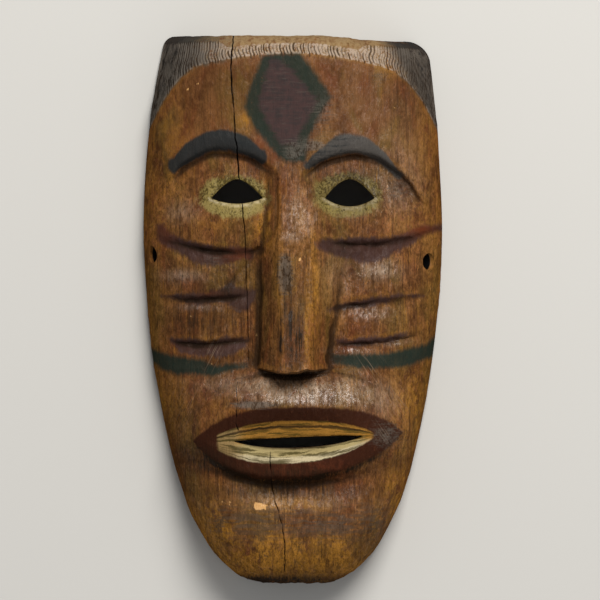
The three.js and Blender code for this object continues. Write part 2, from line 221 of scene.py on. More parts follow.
def noseWedge(x, y):
    # A ridge that grows towards the tip, flat across its face and falling along its flanks to a channel
    down = np.clip((nose["top"] - y) / (nose["top"] - nose["tip"]), 0, 1)
    toTip = np.clip((nose["bridgeAt"] - y) / (nose["bridgeAt"] - nose["tip"]), 0, 1)
    bridge = nose["bridgeHeight"] * ease(nose["top"], nose["bridgeAt"], y)
    ridge = bridge + (nose["tipHeight"] - nose["bridgeHeight"]) * toTip
    half = nose["topHalf"] + (nose["baseHalf"] - nose["topHalf"]) * down ** nose["spread"]
    half = half * np.where(x < nose["x"], mixed(*nose["leftFlank"], toTip), mixed(*nose["rightFlank"], toTip))
    away = np.abs(x - nose["x"])
    flank = 1 - np.clip((away - nose["faceHalf"]) / (half - nose["faceHalf"]), 0, 1)
    flank = mixed(ease(0, 1, flank), flank, mixed(nose["evenAtTop"], 1, toTip))
    tip = noseTip(x)
    square = ease(tip - nose["foot"], tip, y)
    foot = [nose["tip"] + end for end in channel["foot"]]
    sunk = channel["depth"] * bell(away, half + channel["out"], channel["wide"])
    sunk = sunk * within(y, *foot, *channel["fade"])
    return ridge * flank ** nose["round"] * square - sunk


# The three cuts of each cheek
cheekCuts = dict(
    left=[
        dict(start=-76, end=-12, x=-30, y=33.2, bend=0.0048, slope=0, depth=3.6, wide=10),
        dict(start=-74, end=-24, x=-50, y=7.6, bend=0.002, slope=0, depth=3.4, wide=8),
        dict(start=-69, end=-23, x=-46, y=-16.9, bend=0.003, slope=0, depth=3.2, wide=7.5),
    ],
    right=[
        dict(start=12, end=82, x=30, y=37.5, bend=0.0032, slope=0, depth=3.8, wide=14),
        dict(start=19, end=73, x=46, y=4.5, bend=0.001, slope=0.13, depth=3.4, wide=9.5),
        dict(start=22, end=73, x=46, y=-16.5, bend=0.002, slope=0.09, depth=3.2, wide=6.5),
    ],
)
cutShape = dict(
    wall=2.2, lip=0.6, lipAbove=2.5, lipWide=3, taper=0.7, least=0.5, uneven=0.4, noise=(13, 9, 36),
)


def cutEdge(c, x):
    return c["y"] + c["bend"] * (x - c["x"]) ** 2 + c["slope"] * (x - c["x"])


def cutReach(c, x):
    # A cut is deepest in its middle and runs out at both ends, as a sine to a power
    return np.sin(np.pi * np.clip((x - c["start"]) / (c["end"] - c["start"]), 0, 1)) ** cutShape["taper"]


def cheekCutsAt(x, y):
    # Steep along the upper edge, with a raised lip, and sloping out again below
    height = 0
    for c in cheekCuts["left"] + cheekCuts["right"]:
        reach = cutReach(c, x)
        below = cutEdge(c, x) - y
        facet = 1 - np.clip((below - cutShape["wall"]) / (c["wide"] * reach + cutShape["least"]), 0, 1)
        lip = cutShape["lip"] * bell(below, -cutShape["lipAbove"], cutShape["lipWide"])
        depth = c["depth"] * (1 + cutShape["uneven"] * softNoise(x, y, *cutShape["noise"]))
        height = height + reach * (lip - depth * ease(edgeStart, cutShape["wall"], below) * facet)
    return height


# The mouth's curves lie one inside another, and the muzzle rises towards them from the cheeks
mouth = dict(
    x=3, y=-70.5, tilt=0.04, tiltedHalf=60, lidRound=1.0, lipFoot=0.8,
    archAbove=(2.5, 0.78), archBelow=(2.2, 0.85), archOpen=(2, 1.1),
)
muzzle = dict(left=-65, right=71, full=3, up=38, height=2)
outerLip = dict(left=-54.5, right=60.5, full=-5, up=17.5, down=23.5, height=9.5)
innerLip = dict(left=-47, right=45, full=-2, up=9.5, down=13, depth=6.5)
slit = dict(left=-32, right=38, full=3, up=1, down=5, depth=2)
mouthCorner = dict(height=7.5, fade=(54, 76))
crease = dict(y=-97, bend=0.0035, height=4, underLip=1.5)
chin = dict(top=8, topBelow=13, front=9.5, frontBelow=29, end=7, fade=(36, 74))


def mouthMiddle(x):
    return mouth["y"] + mouth["tilt"] * np.clip(x - mouth["x"], -mouth["tiltedHalf"], mouth["tiltedHalf"])


def mouthSpan(edge, x):
    # -1 and 1 at the ends of a pair of curves, 0 where they are fullest
    reach = np.where(x < edge["full"], edge["full"] - edge["left"], edge["right"] - edge["full"])
    return np.clip((x - edge["full"]) / reach, -1, 1)


def curveAbove(edge, x):
    return mouthMiddle(x) + edge["up"] * archOver(mouthSpan(edge, x), *mouth["archAbove"])


def curveBelow(edge, x):
    return mouthMiddle(x) - edge["down"] * archOver(mouthSpan(edge, x), *mouth["archBelow"])


def creaseAt(x):
    # A parabola under the lower lip that keeps clear of it
    bent = crease["y"] + crease["bend"] * (x - mouth["x"]) ** 2
    return np.minimum(curveBelow(outerLip, x) - crease["underLip"], bent)


def insideCurves(edge, x, y):
    # How far a point lies inside a pair of the mouth's curves, less than 0 outside
    return np.minimum(curveAbove(edge, x) - y, y - curveBelow(edge, x))


def lowerFace(x, y):
    # From the nose down to the chin the face is lofted through a ladder of curves. Each rung is a curve, its
    # height above the log, and how the face runs down to it from the rung above.
    wide = np.abs(x - mouth["x"])
    openAt = lambda edge: archOver(mouthSpan(edge, x), *mouth["archOpen"])
    fade = 1 - ease(*chin["fade"], wide)
    atCorner = mouthCorner["height"] * (1 - ease(*mouthCorner["fade"], wide))
    rim = atCorner + outerLip["height"] * openAt(outerLip)
    inner = innerLip["depth"] * openAt(innerLip)
    gap = slit["depth"] * openAt(slit)
    top = curveAbove(muzzle, x)
    lip = curveAbove(outerLip, x)
    straight = lambda share: share
    swelling = lambda share: np.sin(share * np.pi / 2)
    smooth = lambda share: ease(0, 1, share)
    ladder = [
        (top, muzzle["height"] * fade, straight),
        (lip, rim, swelling),
        (curveAbove(innerLip, x) + 1, rim - 0.7 * inner, straight),
        (curveAbove(innerLip, x) - 1.5, rim - inner, straight),
        (curveAbove(slit, x), rim - inner - gap, straight),
        (curveBelow(slit, x), rim - inner - 1.25 * gap, straight),
        (curveBelow(innerLip, x), rim - 0.4 * inner, swelling),
        (curveBelow(outerLip, x) + 4, rim - 2.5 * openAt(outerLip), straight),
        (creaseAt(x), crease["height"] * fade, smooth),
        (creaseAt(x) - chin["topBelow"], chin["top"] * fade, smooth),
        (creaseAt(x) - chin["frontBelow"], chin["front"] * fade, smooth),
        (-halfLength + 0 * x, chin["end"] + 0 * x, smooth),
    ]
    height = ladder[0][1] * ease(top + 6, top, y)
    for (above, heightAbove, _), (below, heightBelow, shape) in zip(ladder, ladder[1:]):
        share = np.clip((above - y) / np.maximum(0.3, above - below), 0, 1)
        height = height + (heightBelow - heightAbove) * shape(share)
    return height


# How far the knife strays from its line: distance, wavelengths across and along, and two seeds
carved = dict(
    fade=(1, 15), wander=[(1.2, 17, 24, 71, 81), (0.5, 5.5, 7, 72, 82)], wanderAtMouth=0.3, mouthEnds=(1, 12),
)


def wandered(x, y):
    # Each place reads the plan a little to one side, less so at the mouth
    amount = mixed(carved["wanderAtMouth"], 1, ease(*carved["mouthEnds"], -insideCurves(innerLip, x, y)))
    for far, wide, high, seedAcross, seedAlong in carved["wander"]:
        across, along = softNoise(x, y, wide, high, seedAcross), softNoise(x, y, high, wide, seedAlong)
        x, y = x + far * amount * across, y + far * amount * along
    return x, y


def carvedHeight(x, y, log):
    # The half log with everything that is cut into it, which fades out on the walls near the rim
    x, y = wandered(x, y)
    upper = hairBevel(x, y) + browStep(x, y) + eyeMounds(x, y) + noseWedge(x, y)
    return log + (upper + cheekCutsAt(x, y) + lowerFace(x, y)) * ease(*carved["fade"], log)


def faceHeight(x, y):
    across = np.clip(x / np.maximum(1, halfWidth(y, x)), -1, 1)
    return carvedHeight(x, y, logHeight(across, np.clip(y / halfLength, -1, 1)))


# Cracks run down the grain. Each path lists heights and the places across at them, and is open along its
# runs. Noise is given as how far, how long and a seed.
crackShape = dict(
    shakes=[(0.35, 5, 11), (0.2, 1.7, 12)], opens=6, closes=4, narrowest=0.6,
    wider=[(0.7, 30, 100), (0.4, -20, -60)], uneven=(0.4, 14, 13), meshEnds=(18, 30),
    leastHalf=0.05, cutFrom=0.06,
)
cracks = [
    dict(
        base=-29.5, spread=10, half=0.27, depth=1.3, start=151, end=-70, runs=[(170, -33.5), (-37, -70)],
        path=[(150.5, -32.5), (132, -34.1), (99.8, -31.6), (71.7, -29.4), (49.3, -26.7), (27.8, -25.5),
              (-0.5, -24.9), (-32.5, -24), (-39, -30.3), (-61, -30.6), (-72, -29.8)],
    ),
    dict(
        base=-8.5, spread=8, half=0.22, depth=1.1, start=-75, end=-147, runs=[(-75, -147)],
        path=[(-70, -9), (-75.4, -11.6), (-82, -12.5), (-90.2, -12.1), (-99.3, -11.1), (-108.4, -8.4),
              (-119.4, -5.6), (-128.4, -4.5), (-146.7, -4.7)],
    ),
]


def downGrain(y, far, long, seed):
    # Noise that changes down the mask alone
    return far * softNoise(y, 0 * y, long, 1, seed)


def crackPlace(c, y):
    # Across the mask, where the crack is at height y: straight pieces with a small shake
    heights, places = np.array(c["path"][::-1]).T
    place = np.interp(y, heights, places)
    for shake in crackShape["shakes"]:
        place = place + downGrain(y, *shake)
    return place


def crackWidth(c, y):
    # Narrow at both ends of each run, and uneven between them
    opens, closes = crackShape["opens"], crackShape["closes"]
    opened = sum(within(y, low, low + opens, high - closes, high) for high, low in c["runs"])
    width = crackShape["narrowest"]
    for more, start, end in crackShape["wider"]:
        width = width + more * ease(start, end, y)
    return c["half"] * opened * (width + downGrain(y, *crackShape["uneven"]))


def alongCracks(x, y):
    # Columns of the mesh near a crack are carried sideways so that they follow it
    below, above = crackShape["meshEnds"]
    for c in cracks:
        shift = (crackPlace(c, y) - c["base"]) * ease(c["end"] - below, c["end"], y)
        shift = shift * (1 - ease(c["start"], c["start"] + above, y))
        x = x + shift * bell(x, c["base"], c["spread"])
    return x


def crackDepth(x, y):
    # A narrow V on each crack
    depth = 0
    for c in cracks:
        half = crackWidth(c, y)
        aside = np.abs(x - crackPlace(c, y)) / np.maximum(half, crackShape["leastHalf"])
        depth = depth + c["depth"] * np.clip(1 - aside, 0, 1) * (half > crackShape["cutFrom"])
    return depth


# Knife strokes in the hair band, short in the middle and running up to the top edge at the temples
hair = dict(
    pitch=1.75, depth=0.6, below=1.6, middleLength=6.8, templeLength=46, temple=(34, 60), bow=1.0,
    leans=[(0.24, -42, -70), (-0.05, 50, 75)], shake=0.5, shakeNoise=(6, 34, 21), halfGroove=0.45,
    strokes=200, seed=22, lengths=(0.65, 0.45), starting=1.5, ending=2.5, shallowest=0.5, topGap=(5, 2),
    reach=(-1.5, 0.5), reachEnding=3, reachTopGap=(6, 3), onWalls=0.6, wallSteps=400, wallAlong=0.8,
)


def alongSection(x, y):
    # Places across, stretched on the walls by how much longer the log's round section is than the way across
    share = np.sin(np.linspace(0, np.pi / 2, hair["wallSteps"]))
    steps = np.hypot(np.diff(share * widestHalf), np.diff(logHeight(share, hair["wallAlong"])))
    extra = np.concatenate([[0], np.cumsum(steps)]) - share * widestHalf
    return x + np.sign(x) * hair["onWalls"] * np.interp(np.abs(x) / halfWidth(y, x), share, extra)


def strokeLength(x):
    return mixed(hair["middleLength"], hair["templeLength"], ease(*hair["temple"], np.abs(x)))


def belowTop(y, gaps):
    # 1 over the mask, fading to 0 just below its top edge
    far, near = gaps
    return 1 - ease(halfLength - far, halfLength - near, y)


def hairStrokes(x, y):
    # A row of curved V grooves, each with its own length and depth, from 0 to 1 at the bottom of a groove
    past = y - hairlineAt(x)
    lean = sum(amount * ease(start, end, x) for amount, start, end in hair["leans"])
    bowed = hair["bow"] * np.sin(np.pi * np.clip(past / hair["middleLength"], 0, 1))
    across = alongSection(x, y) - lean * past + bowed
    across = across / hair["pitch"] + hair["shake"] * softNoise(x, y, *hair["shakeNoise"])
    number = np.floor(across).astype(int)
    count = hair["strokes"]
    own = np.random.default_rng(hair["seed"]).uniform(0, 1, (3, count))[:, (number + count // 2) % count]
    groove = np.clip(1 - np.abs(across - number - 0.5) / hair["halfGroove"], 0, 1)
    start = -hair["below"] * 2 * own[0]
    shortest, more = hair["lengths"]
    end = strokeLength(x) * (shortest + more * own[1])
    envelope = within(past, start, start + hair["starting"], end - hair["ending"], end)
    return groove * envelope * mixed(hair["shallowest"], 1, own[2]) * belowTop(y, hair["topGap"])


def hairStrokesReach(x, y):
    # 1 over the part of the band that the strokes cover, 0 above and below it
    longest = strokeLength(x)
    covered = within(y - hairlineAt(x), *hair["reach"], longest - hair["reachEnding"], longest)
    return covered * belowTop(y, hair["reachTopGap"])


# Tool marks as width, height, depth and seed: long shallow ones down the face, chips below the cuts, and
# short ones on the chin. Then folds drawn down the cheeks, a bruise on the nose, and dents.
marks = dict(
    face=(7, 24, 0.5, 31), cheek=(9, 7, 0.8, 32), chinBand=(11, 2.2, 0.8, 33), chinEnd=(2.9, 9, 0.8, 34),
    chips=(5.5, 3.2, 1.9, 35),
)
markAreas = dict(
    cheekAcross=(20, 32), cheekAbove=(40, 52), cheekBelow=(-66, -50), lessOfFace=0.6,
    chinBand=(-115, 10), chinBandEnds=(38, 52), chinEnd=(-124, -132), chinEndEnds=(28, 42),
    facetMiddle=0.5, facetWide=0.7, foldEnd=12,
)
folds = [
    dict(depth=1.2, wide=1.7, path=[(78, -9), (60, -10), (45.7, -10.6), (39.8, -12.5), (32.2, -19.1),
                                    (25.2, -24.2), (16.4, -31.8), (8, -40)]),
    dict(depth=0.7, wide=1.4, path=[(-2, -37.5), (-22.8, -44.4), (-36, -49.4), (-54.5, -62.2)]),
    dict(depth=0.9, wide=1.6, path=[(-27, 36.9), (-41.8, 49.5), (-60, 64.4)]),
]
bruise = dict(
    x=-4.3, y=19.5, wide=3.1, high=10.5, depth=1.1, fullness=0.7, shallowest=0.35, edge=(0.15, 0.5),
    pits=(1.6, 2.2, 41),
)
dents = dict(
    count=46, seed=42, reach=60, length=120, wide=(0.7, 2.2), high=(0.8, 4), depth=0.5, share=(0.4, 1),
)
unevenness = [(0.5, 23, 34, 51), (0.26, 5, 13, 52), (0.12, 2.1, 5, 53)]  # height, width, length and seed


def nearCuts(x, y):
    # 1 on the sloping facets below the cheek cuts
    best = 0
    for c in cheekCuts["left"] + cheekCuts["right"]:
        middle, wide = markAreas["facetMiddle"] * c["wide"], markAreas["facetWide"] * c["wide"]
        best = np.maximum(best, cutReach(c, x) * bell(cutEdge(c, x) - y, middle, wide))
    return best


def foldsAt(x, y):
    # A soft groove along each fold's path, less deep at its ends
    best = 0
    short = markAreas["foldEnd"]
    for fold in folds:
        heights, places = np.array(fold["path"][::-1]).T
        ends = within(y, heights[0], heights[0] + short, heights[-1] - short, heights[-1])
        best = np.maximum(best, fold["depth"] * ends * bell(x, np.interp(y, heights, places), fold["wide"]))
    return best


def toolMarks(x, y):
    # Bowls of several sizes, each kept to its own part of the face
    def bowls(name):
        wide, high, depth, seed = marks[name]
        return depth * gougeMarks(x, y, wide, high, seed)
    area = markAreas
    wide = np.abs(x - mouth["x"])
    onCheek = ease(*area["cheekAcross"], np.abs(x)) * (1 - ease(*area["cheekAbove"], y))
    onCheek = onCheek * ease(*area["cheekBelow"], y)
    band = bell(y, *area["chinBand"]) * (1 - ease(*area["chinBandEnds"], wide))
    chinEnd = ease(*area["chinEnd"], y) * (1 - ease(*area["chinEndEnds"], wide))
    height = bowls("face") * (1 - area["lessOfFace"] * onCheek) + bowls("cheek") * onCheek
    height = height + bowls("chips") * nearCuts(x, y) - foldsAt(x, y)
    return height + bowls("chinBand") * band + bowls("chinEnd") * chinEnd


def smallDamage(x, y):
    # Pits in the bruise, and small dents scattered over the face
    patch = bell(x, bruise["x"], bruise["wide"]) * bell(y, bruise["y"], bruise["high"])
    deep = mixed(bruise["shallowest"], 1, np.abs(softNoise(x, y, *bruise["pits"])))
    height = -bruise["depth"] * (patch ** bruise["fullness"] * deep * ease(*bruise["edge"], patch))
    draw = np.random.default_rng(dents["seed"]).uniform
    reach, length = dents["reach"], dents["length"]
    for _ in range(dents["count"]):
        cx, cy = draw(-reach, reach), draw(-length, length)
        wide, high = draw(*dents["wide"]), draw(*dents["high"])
        height = height - dents["depth"] * draw(*dents["share"]) * bell(x, cx, wide) * bell(y, cy, high)
    return height


def fineRelief(x, y):
    # What the tools, the strokes, the damage and the grain add to the carved face
    height = toolMarks(x, y) + smallDamage(x, y) - hair["depth"] * hairStrokes(x, y)
    for size, wide, high, seed in unevenness:
        height = height + size * softNoise(x, y, wide, high, seed)
    return height


# The mesh of the front: rows along the level curves of the carving, columns along the nose and the cracks.
# The curves of the left and right sides are joined across the nose.
joins = dict(browHalf=32, browShare=0.4, cutFrom=12, cutOver=14)


def browAt(x):
    reach = lambda b: browEdge(b, np.clip(x, b["x"] - joins["browHalf"], b["x"] + joins["browHalf"]))
    left, right = brows
    share = joins["browShare"]
    return mixed(reach(left), reach(right), ease(left["x"] * share, right["x"] * share, x))


def cutAt(index, x):
    left = cutEdge(cheekCuts["left"][index], np.minimum(x, -joins["cutFrom"]))
    right = cutEdge(cheekCuts["right"][index], np.maximum(x, joins["cutFrom"]))
    return mixed(left, right, ease(-joins["cutOver"], joins["cutOver"], x))


# Each level is a curve across the mask and the number of rows from the level above it
levels = [
    (lambda x: halfLength + 0 * x, 0),
    (lambda x: halfLength - 3.5 + 0 * x, 12),
    (lambda x: hairlineAt(x) - 3, 24),
    (lambda x: browAt(x) + 8, 25),
    (lambda x: browAt(x), 8),
    (lambda x: browAt(x) - 4.5, 6),
    (lambda x: eyes[0]["y"] - 0.0012 * x * x, 20),
    (lambda x: cutAt(0, x) + 1, 17),
    (lambda x: cutAt(0, x) - 2.2, 5),
    (lambda x: cutAt(0, x) - 11, 7),
    (lambda x: cutAt(1, x) + 1, 11),
    (lambda x: cutAt(1, x) - 2.2, 5),
    (lambda x: cutAt(1, x) - 10, 6),
    (lambda x: cutAt(2, x) + 1, 8),
    (lambda x: cutAt(2, x) - 2.2, 5),
    (lambda x: noseTip(x) + 0.5, 8),
    (lambda x: noseTip(x) - nose["foot"] - 0.3, 5),
    (lambda x: curveAbove(muzzle, x) - 2, 5),
    (lambda x: curveAbove(outerLip, x), 11),
    (lambda x: curveAbove(innerLip, x), 8),
    (lambda x: curveAbove(slit, x) + 0.8, 7),
    (lambda x: curveBelow(slit, x) - 0.8, 5),
    (lambda x: curveBelow(innerLip, x), 7),
    (lambda x: curveBelow(outerLip, x) + 4, 5),
    (lambda x: creaseAt(x), 7),
    (lambda x: creaseAt(x) - chin["topBelow"], 7),
    (lambda x: creaseAt(x) - chin["frontBelow"], 14),
    (lambda x: 3.5 - halfLength + 0 * x, 16),
    (lambda x: -halfLength + 0 * x, 11),
]
meshing = dict(
    columns=268, samples=6001, onWalls=0.8, onFace=0.45, faceTo=(66, 76), atEdge=(0.5, 5), atCrack=(2.6, 1.2),
    rowRoom=0.11, chinRoom=3, endSpacing={1: 4, len(levels) - 1: 2.8}, settling=5, hairLevels=2,
    softening=(2, 0.6), softFrom=(14, 30), reliefFrom=(0.5, 6), tuckFrom=20, sharpFrom=48,
)


def levelHeights(last, x):
    # The level curves down to one of them, each kept clear of the one above and of the chin
    heights = [levels[0][0](x)]
    for k in range(1, last + 1):
        curve, steps = levels[k]
        wanted = np.minimum(curve(x), heights[-1] - meshing["rowRoom"] * steps)
        lowest = meshing["chinRoom"] * (len(levels) - 1 - k) - halfLength
        heights.append(np.maximum(wanted, lowest) if k < len(levels) - 1 else curve(x))
    return heights


def columnPlaces():
    # Even steps along the log's arch, closer at the cracks and the nose, with a column on each crack and edge
    q = np.sin(np.linspace(-np.pi / 2, np.pi / 2, meshing["samples"]))
    x = q * widestHalf
    weight = meshing["onWalls"] + meshing["onFace"] * (1 - ease(*meshing["faceTo"], np.abs(x)))
    edges = [nose["x"] - nose["faceHalf"], nose["x"] + nose["faceHalf"]]
    closer = [(edge, *meshing["atEdge"]) for edge in edges]
    closer += [(c["base"], *meshing["atCrack"]) for c in cracks]
    for place, amount, wide in closer:
        weight = weight + amount * bell(x, place, wide)
    lengths = np.hypot(np.diff(x), np.diff(logHeight(q, 0 * q))) * weight[1:]
    total = np.concatenate([[0], np.cumsum(lengths)])
    places = np.interp(np.linspace(0, total[-1], meshing["columns"] + 1), total, q)
    for wanted in [c["base"] for c in cracks] + edges:
        places[np.abs(places * widestHalf - wanted).argmin()] = wanted / widestHalf
    return places


def frontBlock(q, first, last):
    # Rows between two levels as a grid of points: place across times half width, height from the levels.
    # Height and half width depend on each other, so both are worked out a few times over.
    blocks = []
    for k in range(first, last + 1):
        share = np.arange(1, levels[k][1] + 1) / levels[k][1]
        if k == 1:
            share = np.concatenate([[0], share]) ** meshing["endSpacing"][1]
        elif k in meshing["endSpacing"]:
            share = 1 - (1 - share) ** meshing["endSpacing"][k]
        x = np.tile(q * widestHalf, (len(share), 1))
        for _ in range(meshing["settling"]):
            heights = levelHeights(k, x)
            y = mixed(heights[k - 1], heights[k], share[:, None])
            x = alongCracks(q * halfWidth(y, np.tile(q, (len(share), 1))), y)
        blocks.append(np.stack([x, y], -1))
    return np.concatenate(blocks)


def raised(plan, q):
    # The points of a grid lifted to the carved face, then moved along its normal by the fine relief
    x, y = plan[..., 0], plan[..., 1]
    log = logHeight(np.broadcast_to(q, x.shape), y / halfLength)
    z = softened(carvedHeight(x, y, log), ease(*meshing["softFrom"], log))
    for e in eyes:
        z = z - rounding(eyeGap(e, x, y), eyeMound["lidRound"])
    fromSlit = np.maximum(0, -insideCurves(slit, x, y)) + farOff * (np.abs(mouthSpan(slit, x)) == 1)
    z = z - rounding(fromSlit, mouth["lidRound"])
    points = np.stack([x, y - topDrop(x, y), z], -1)
    normals = np.cross(np.gradient(points, axis=1), -np.gradient(points, axis=0))
    normals = normals / np.maximum(1e-9, np.linalg.norm(normals, axis=-1, keepdims=True))
    awayFromRim = ease(*meshing["reliefFrom"], z)
    points = points + normals * (fineRelief(x, y) * awayFromRim)[..., None]
    points[..., 2] = points[..., 2] - crackDepth(x, y) * awayFromRim
    fromMiddle = np.maximum(meshing["tuckFrom"], np.linalg.norm(points[..., :2], axis=-1, keepdims=True))
    tuck = rounding(z, block["rimRound"])[..., None] / fromMiddle
    points[..., :2] = points[..., :2] * (1 - tuck)
    return points


def softened(z, share):
    # Each inner height drawn towards the mean of its four neighbours, as far as share says
    times, most = meshing["softening"]
    for _ in range(times):
        mean = (z[:-2, 1:-1] + z[2:, 1:-1] + z[1:-1, :-2] + z[1:-1, 2:]) / 4
        z[1:-1, 1:-1] = mixed(z[1:-1, 1:-1], mean, most * share[1:-1, 1:-1])
    return z


def rounding(distance, radius):
    # How far a rounded edge has dropped at a distance from it: a quarter circle
    inside = np.clip(radius - distance, 0, radius)
    return radius - np.sqrt(np.maximum(0, radius**2 - inside**2))


def gridFaces(rows, columns, first=0):
    # Four-sided faces over a grid, numbered row by row from its top left-hand corner
    number = first + np.arange(rows * columns).reshape(rows, columns)
    corners = [number[:-1, :-1], number[1:, :-1], number[1:, 1:], number[:-1, 1:]]
    return np.stack([c.ravel() for c in corners], -1), number


def frontDome():
    # The hair band has twice the columns of the rest, joined by a row with three triangles to each column
    q = columnPlaces()
    fine = np.interp(np.arange(2 * len(q) - 1) / 2, np.arange(len(q)), q)
    top = raised(frontBlock(fine, 1, meshing["hairLevels"]), fine)
    rest = raised(frontBlock(q, meshing["hairLevels"] + 1, len(levels) - 1), q)
    topFaces, topNumber = gridFaces(*top.shape[:2])
    restFaces, restNumber = gridFaces(*rest.shape[:2], topNumber.size)
    above, below = topNumber[-1], restNumber[0]
    a, b, c = above[:-2:2], above[1:-1:2], above[2::2]
    d, e = below[:-1], below[1:]
    joints = [np.stack(t, -1) for t in ((a, d, b), (d, e, b), (b, e, c))]
    loop = np.concatenate([
        topNumber[:, 0], restNumber[:, 0], restNumber[-1, 1:],
        restNumber[-2::-1, -1], topNumber[::-1, -1], topNumber[0, -2:0:-1],
    ])
    points = np.concatenate([top.reshape(-1, 3), rest.reshape(-1, 3)])
    return closedBelow(points, [topFaces, restFaces] + joints, loop)


def closedBelow(points, faces, loop):
    # A fan of triangles from the middle closes a sheet whose border lies on one level
    points = np.concatenate([points, [[0, 0, points[loop[0], 2]]]])
    fan = np.stack([np.roll(loop, -1), loop, np.full(len(loop), len(points) - 1)], -1)
    return points, faces + [fan]


# The hollow behind the face, deeper behind the nose and the mouth, with long gouge marks
hollow = dict(
    across=84, along=120, belowRim=-4, ends=1.04, power=2.5, endPower=6, endRoot=0.42,
    pits=[dict(height=13, x=1.8, wide=15, y=-8, high=34), dict(height=8, x=3, wide=42, y=-70.5, high=24)],
    marks=(10, 19, 1.5, 61), markLevel=0.45, marksFrom=(3, 14), pitsFrom=(10, 30), least=1,
)


def hollowDepth(q, t):
    # An arch across times an arch along, from places of -1 to 1 both ways
    arch = archOver(q, hollow["power"], 0.5) * archOver(t, hollow["endPower"], hollow["endRoot"])
    return (block["depth"] - block["frontWall"]) * arch


def hollowDome():
    # The hollow's depth, a bell for each deeper place, and the gouge's scoops
    q = np.sin(np.linspace(-np.pi / 2, np.pi / 2, hollow["across"] + 1))[None, :]
    t = np.sin(np.linspace(np.pi / 2, -np.pi / 2, hollow["along"] + 1))[:, None]
    y = t * (halfLength - block["endWall"]) + 0 * q
    x = q * (halfWidth(y * hollow["ends"], q + 0 * y) - block["rimWidth"])
    deep = hollowDepth(q, t)
    pits = sum(p["height"] * bell(x, p["x"], p["wide"]) * bell(y, p["y"], p["high"]) for p in hollow["pits"])
    wide, high, depth, seed = hollow["marks"]
    scoops = depth * (hollow["markLevel"] - gougeMarks(x, y, wide, high, seed))
    scoops = scoops * ease(*hollow["marksFrom"], deep)
    z = np.maximum(hollow["least"], deep) + pits * ease(*hollow["pitsFrom"], deep) + scoops
    z[[0, -1], :] = hollow["belowRim"]
    z[:, [0, -1]] = hollow["belowRim"]
    points = np.stack([x, y, z], -1)
    faces, number = gridFaces(*z.shape)
    loop = np.concatenate([number[:, 0], number[-1, 1:], number[-2::-1, -1], number[0, -2:0:-1]])
    return closedBelow(points.reshape(-1, 3), [faces], loop)


# The openings: two eye slits and the mouth, which widen towards the hollow, and two bored tie holes
tieHoles = [dict(side=-1, y=30, z=22), dict(side=1, y=26, z=26)]
tieBore = dict(radius=4.75, start=48, end=102, sides=40, steps=24, flare=1.6, flareFrom=2)
slitShape = dict(points=49, rings=[(110, 0), (46, 0), (40, 1.2), (10, 9)])  # each ring's height and flare


def lofted(rings):
    # Closed rings of points carried one to the next, with a flat face at each end
    count = len(rings[0])
    points = np.concatenate(rings)
    number = np.arange(len(points)).reshape(len(rings), count)
    following = np.roll(number, -1, 1)
    corners = [number[:-1], number[1:], following[1:], following[:-1]]
    sides = np.stack([c.ravel() for c in corners], -1)
    return points, [sides, number[:1, :], number[-1:, ::-1]]


def slitCutter(upper, lower, middle, half):
    # The lids as one ring, repeated at each height and grown outward by that ring's flare
    t = np.sin(np.linspace(-np.pi / 2, np.pi / 2, slitShape["points"]))
    x = middle + half * t
    ring = np.concatenate([np.stack([x, lower(x)], -1)[:-1], np.stack([x, upper(x)], -1)[:0:-1]])
    centre = np.array([middle, ring[:, 1].mean()])
    away = (ring - centre) / np.maximum(1e-6, np.linalg.norm(ring - centre, axis=1, keepdims=True))
    levelRing = lambda z, flare: np.column_stack([ring + away * flare, np.full(len(ring), float(z))])
    return lofted([levelRing(z, flare) for z, flare in slitShape["rings"]])


def eyeCutter(e):
    upper = lambda x: e["y"] + e["up"] * archOver((x - e["x"]) / e["half"], e["pointed"], 1)
    lower = lambda x: e["y"] - e["down"] * archOver((x - e["x"]) / e["half"], 2, 1)
    return slitCutter(upper, lower, e["x"], e["half"])


def mouthCutter():
    upper = lambda x: curveAbove(slit, x)
    lower = lambda x: curveBelow(slit, x)
    return slitCutter(upper, lower, slit["full"], (slit["right"] - slit["left"]) / 2)


def tieHoleCutter(hole):
    # A round bore across the wall, a little wider outside where cords have worn it
    angle = np.linspace(0, 2 * np.pi, tieBore["sides"], endpoint=False) * hole["side"]
    straight = np.linspace(tieBore["start"], widestHalf - tieBore["flareFrom"], tieBore["steps"])
    rings = []
    for along, flare in [(along, 0) for along in straight] + [(tieBore["end"], tieBore["flare"])]:
        radius = tieBore["radius"] + flare
        y, z = hole["y"] + radius * np.cos(angle), hole["z"] + radius * np.sin(angle)
        rings.append(np.stack([hole["side"] * along + 0 * angle, y, z], -1))
    return lofted(rings[::-1])


# Putting arrays into Blender, and cutting one closed mesh with others
def meshFrom(name, points, faceGroups):
    # Faces come as arrays of corner numbers, one array for each number of corners
    mesh = bpy.data.meshes.new(name)
    mesh.vertices.add(len(points))
    mesh.vertices.foreach_set("co", (points * mm).astype(np.float32).ravel())
    totals = np.concatenate([np.full(len(g), g.shape[1]) for g in faceGroups])
    corners = np.concatenate([g.ravel() for g in faceGroups])
    mesh.loops.add(len(corners))
    mesh.loops.foreach_set("vertex_index", corners.astype(np.int32))
    mesh.polygons.add(len(totals))
    mesh.polygons.foreach_set("loop_start", np.concatenate([[0], np.cumsum(totals)[:-1]]).astype(np.int32))
    mesh.update(calc_edges=True)
    mesh.validate()
    return mesh


def placed(name, points, faceGroups):
    obj = bpy.data.objects.new(name, meshFrom(name, points, faceGroups))
    bpy.context.scene.collection.objects.link(obj)
    return obj


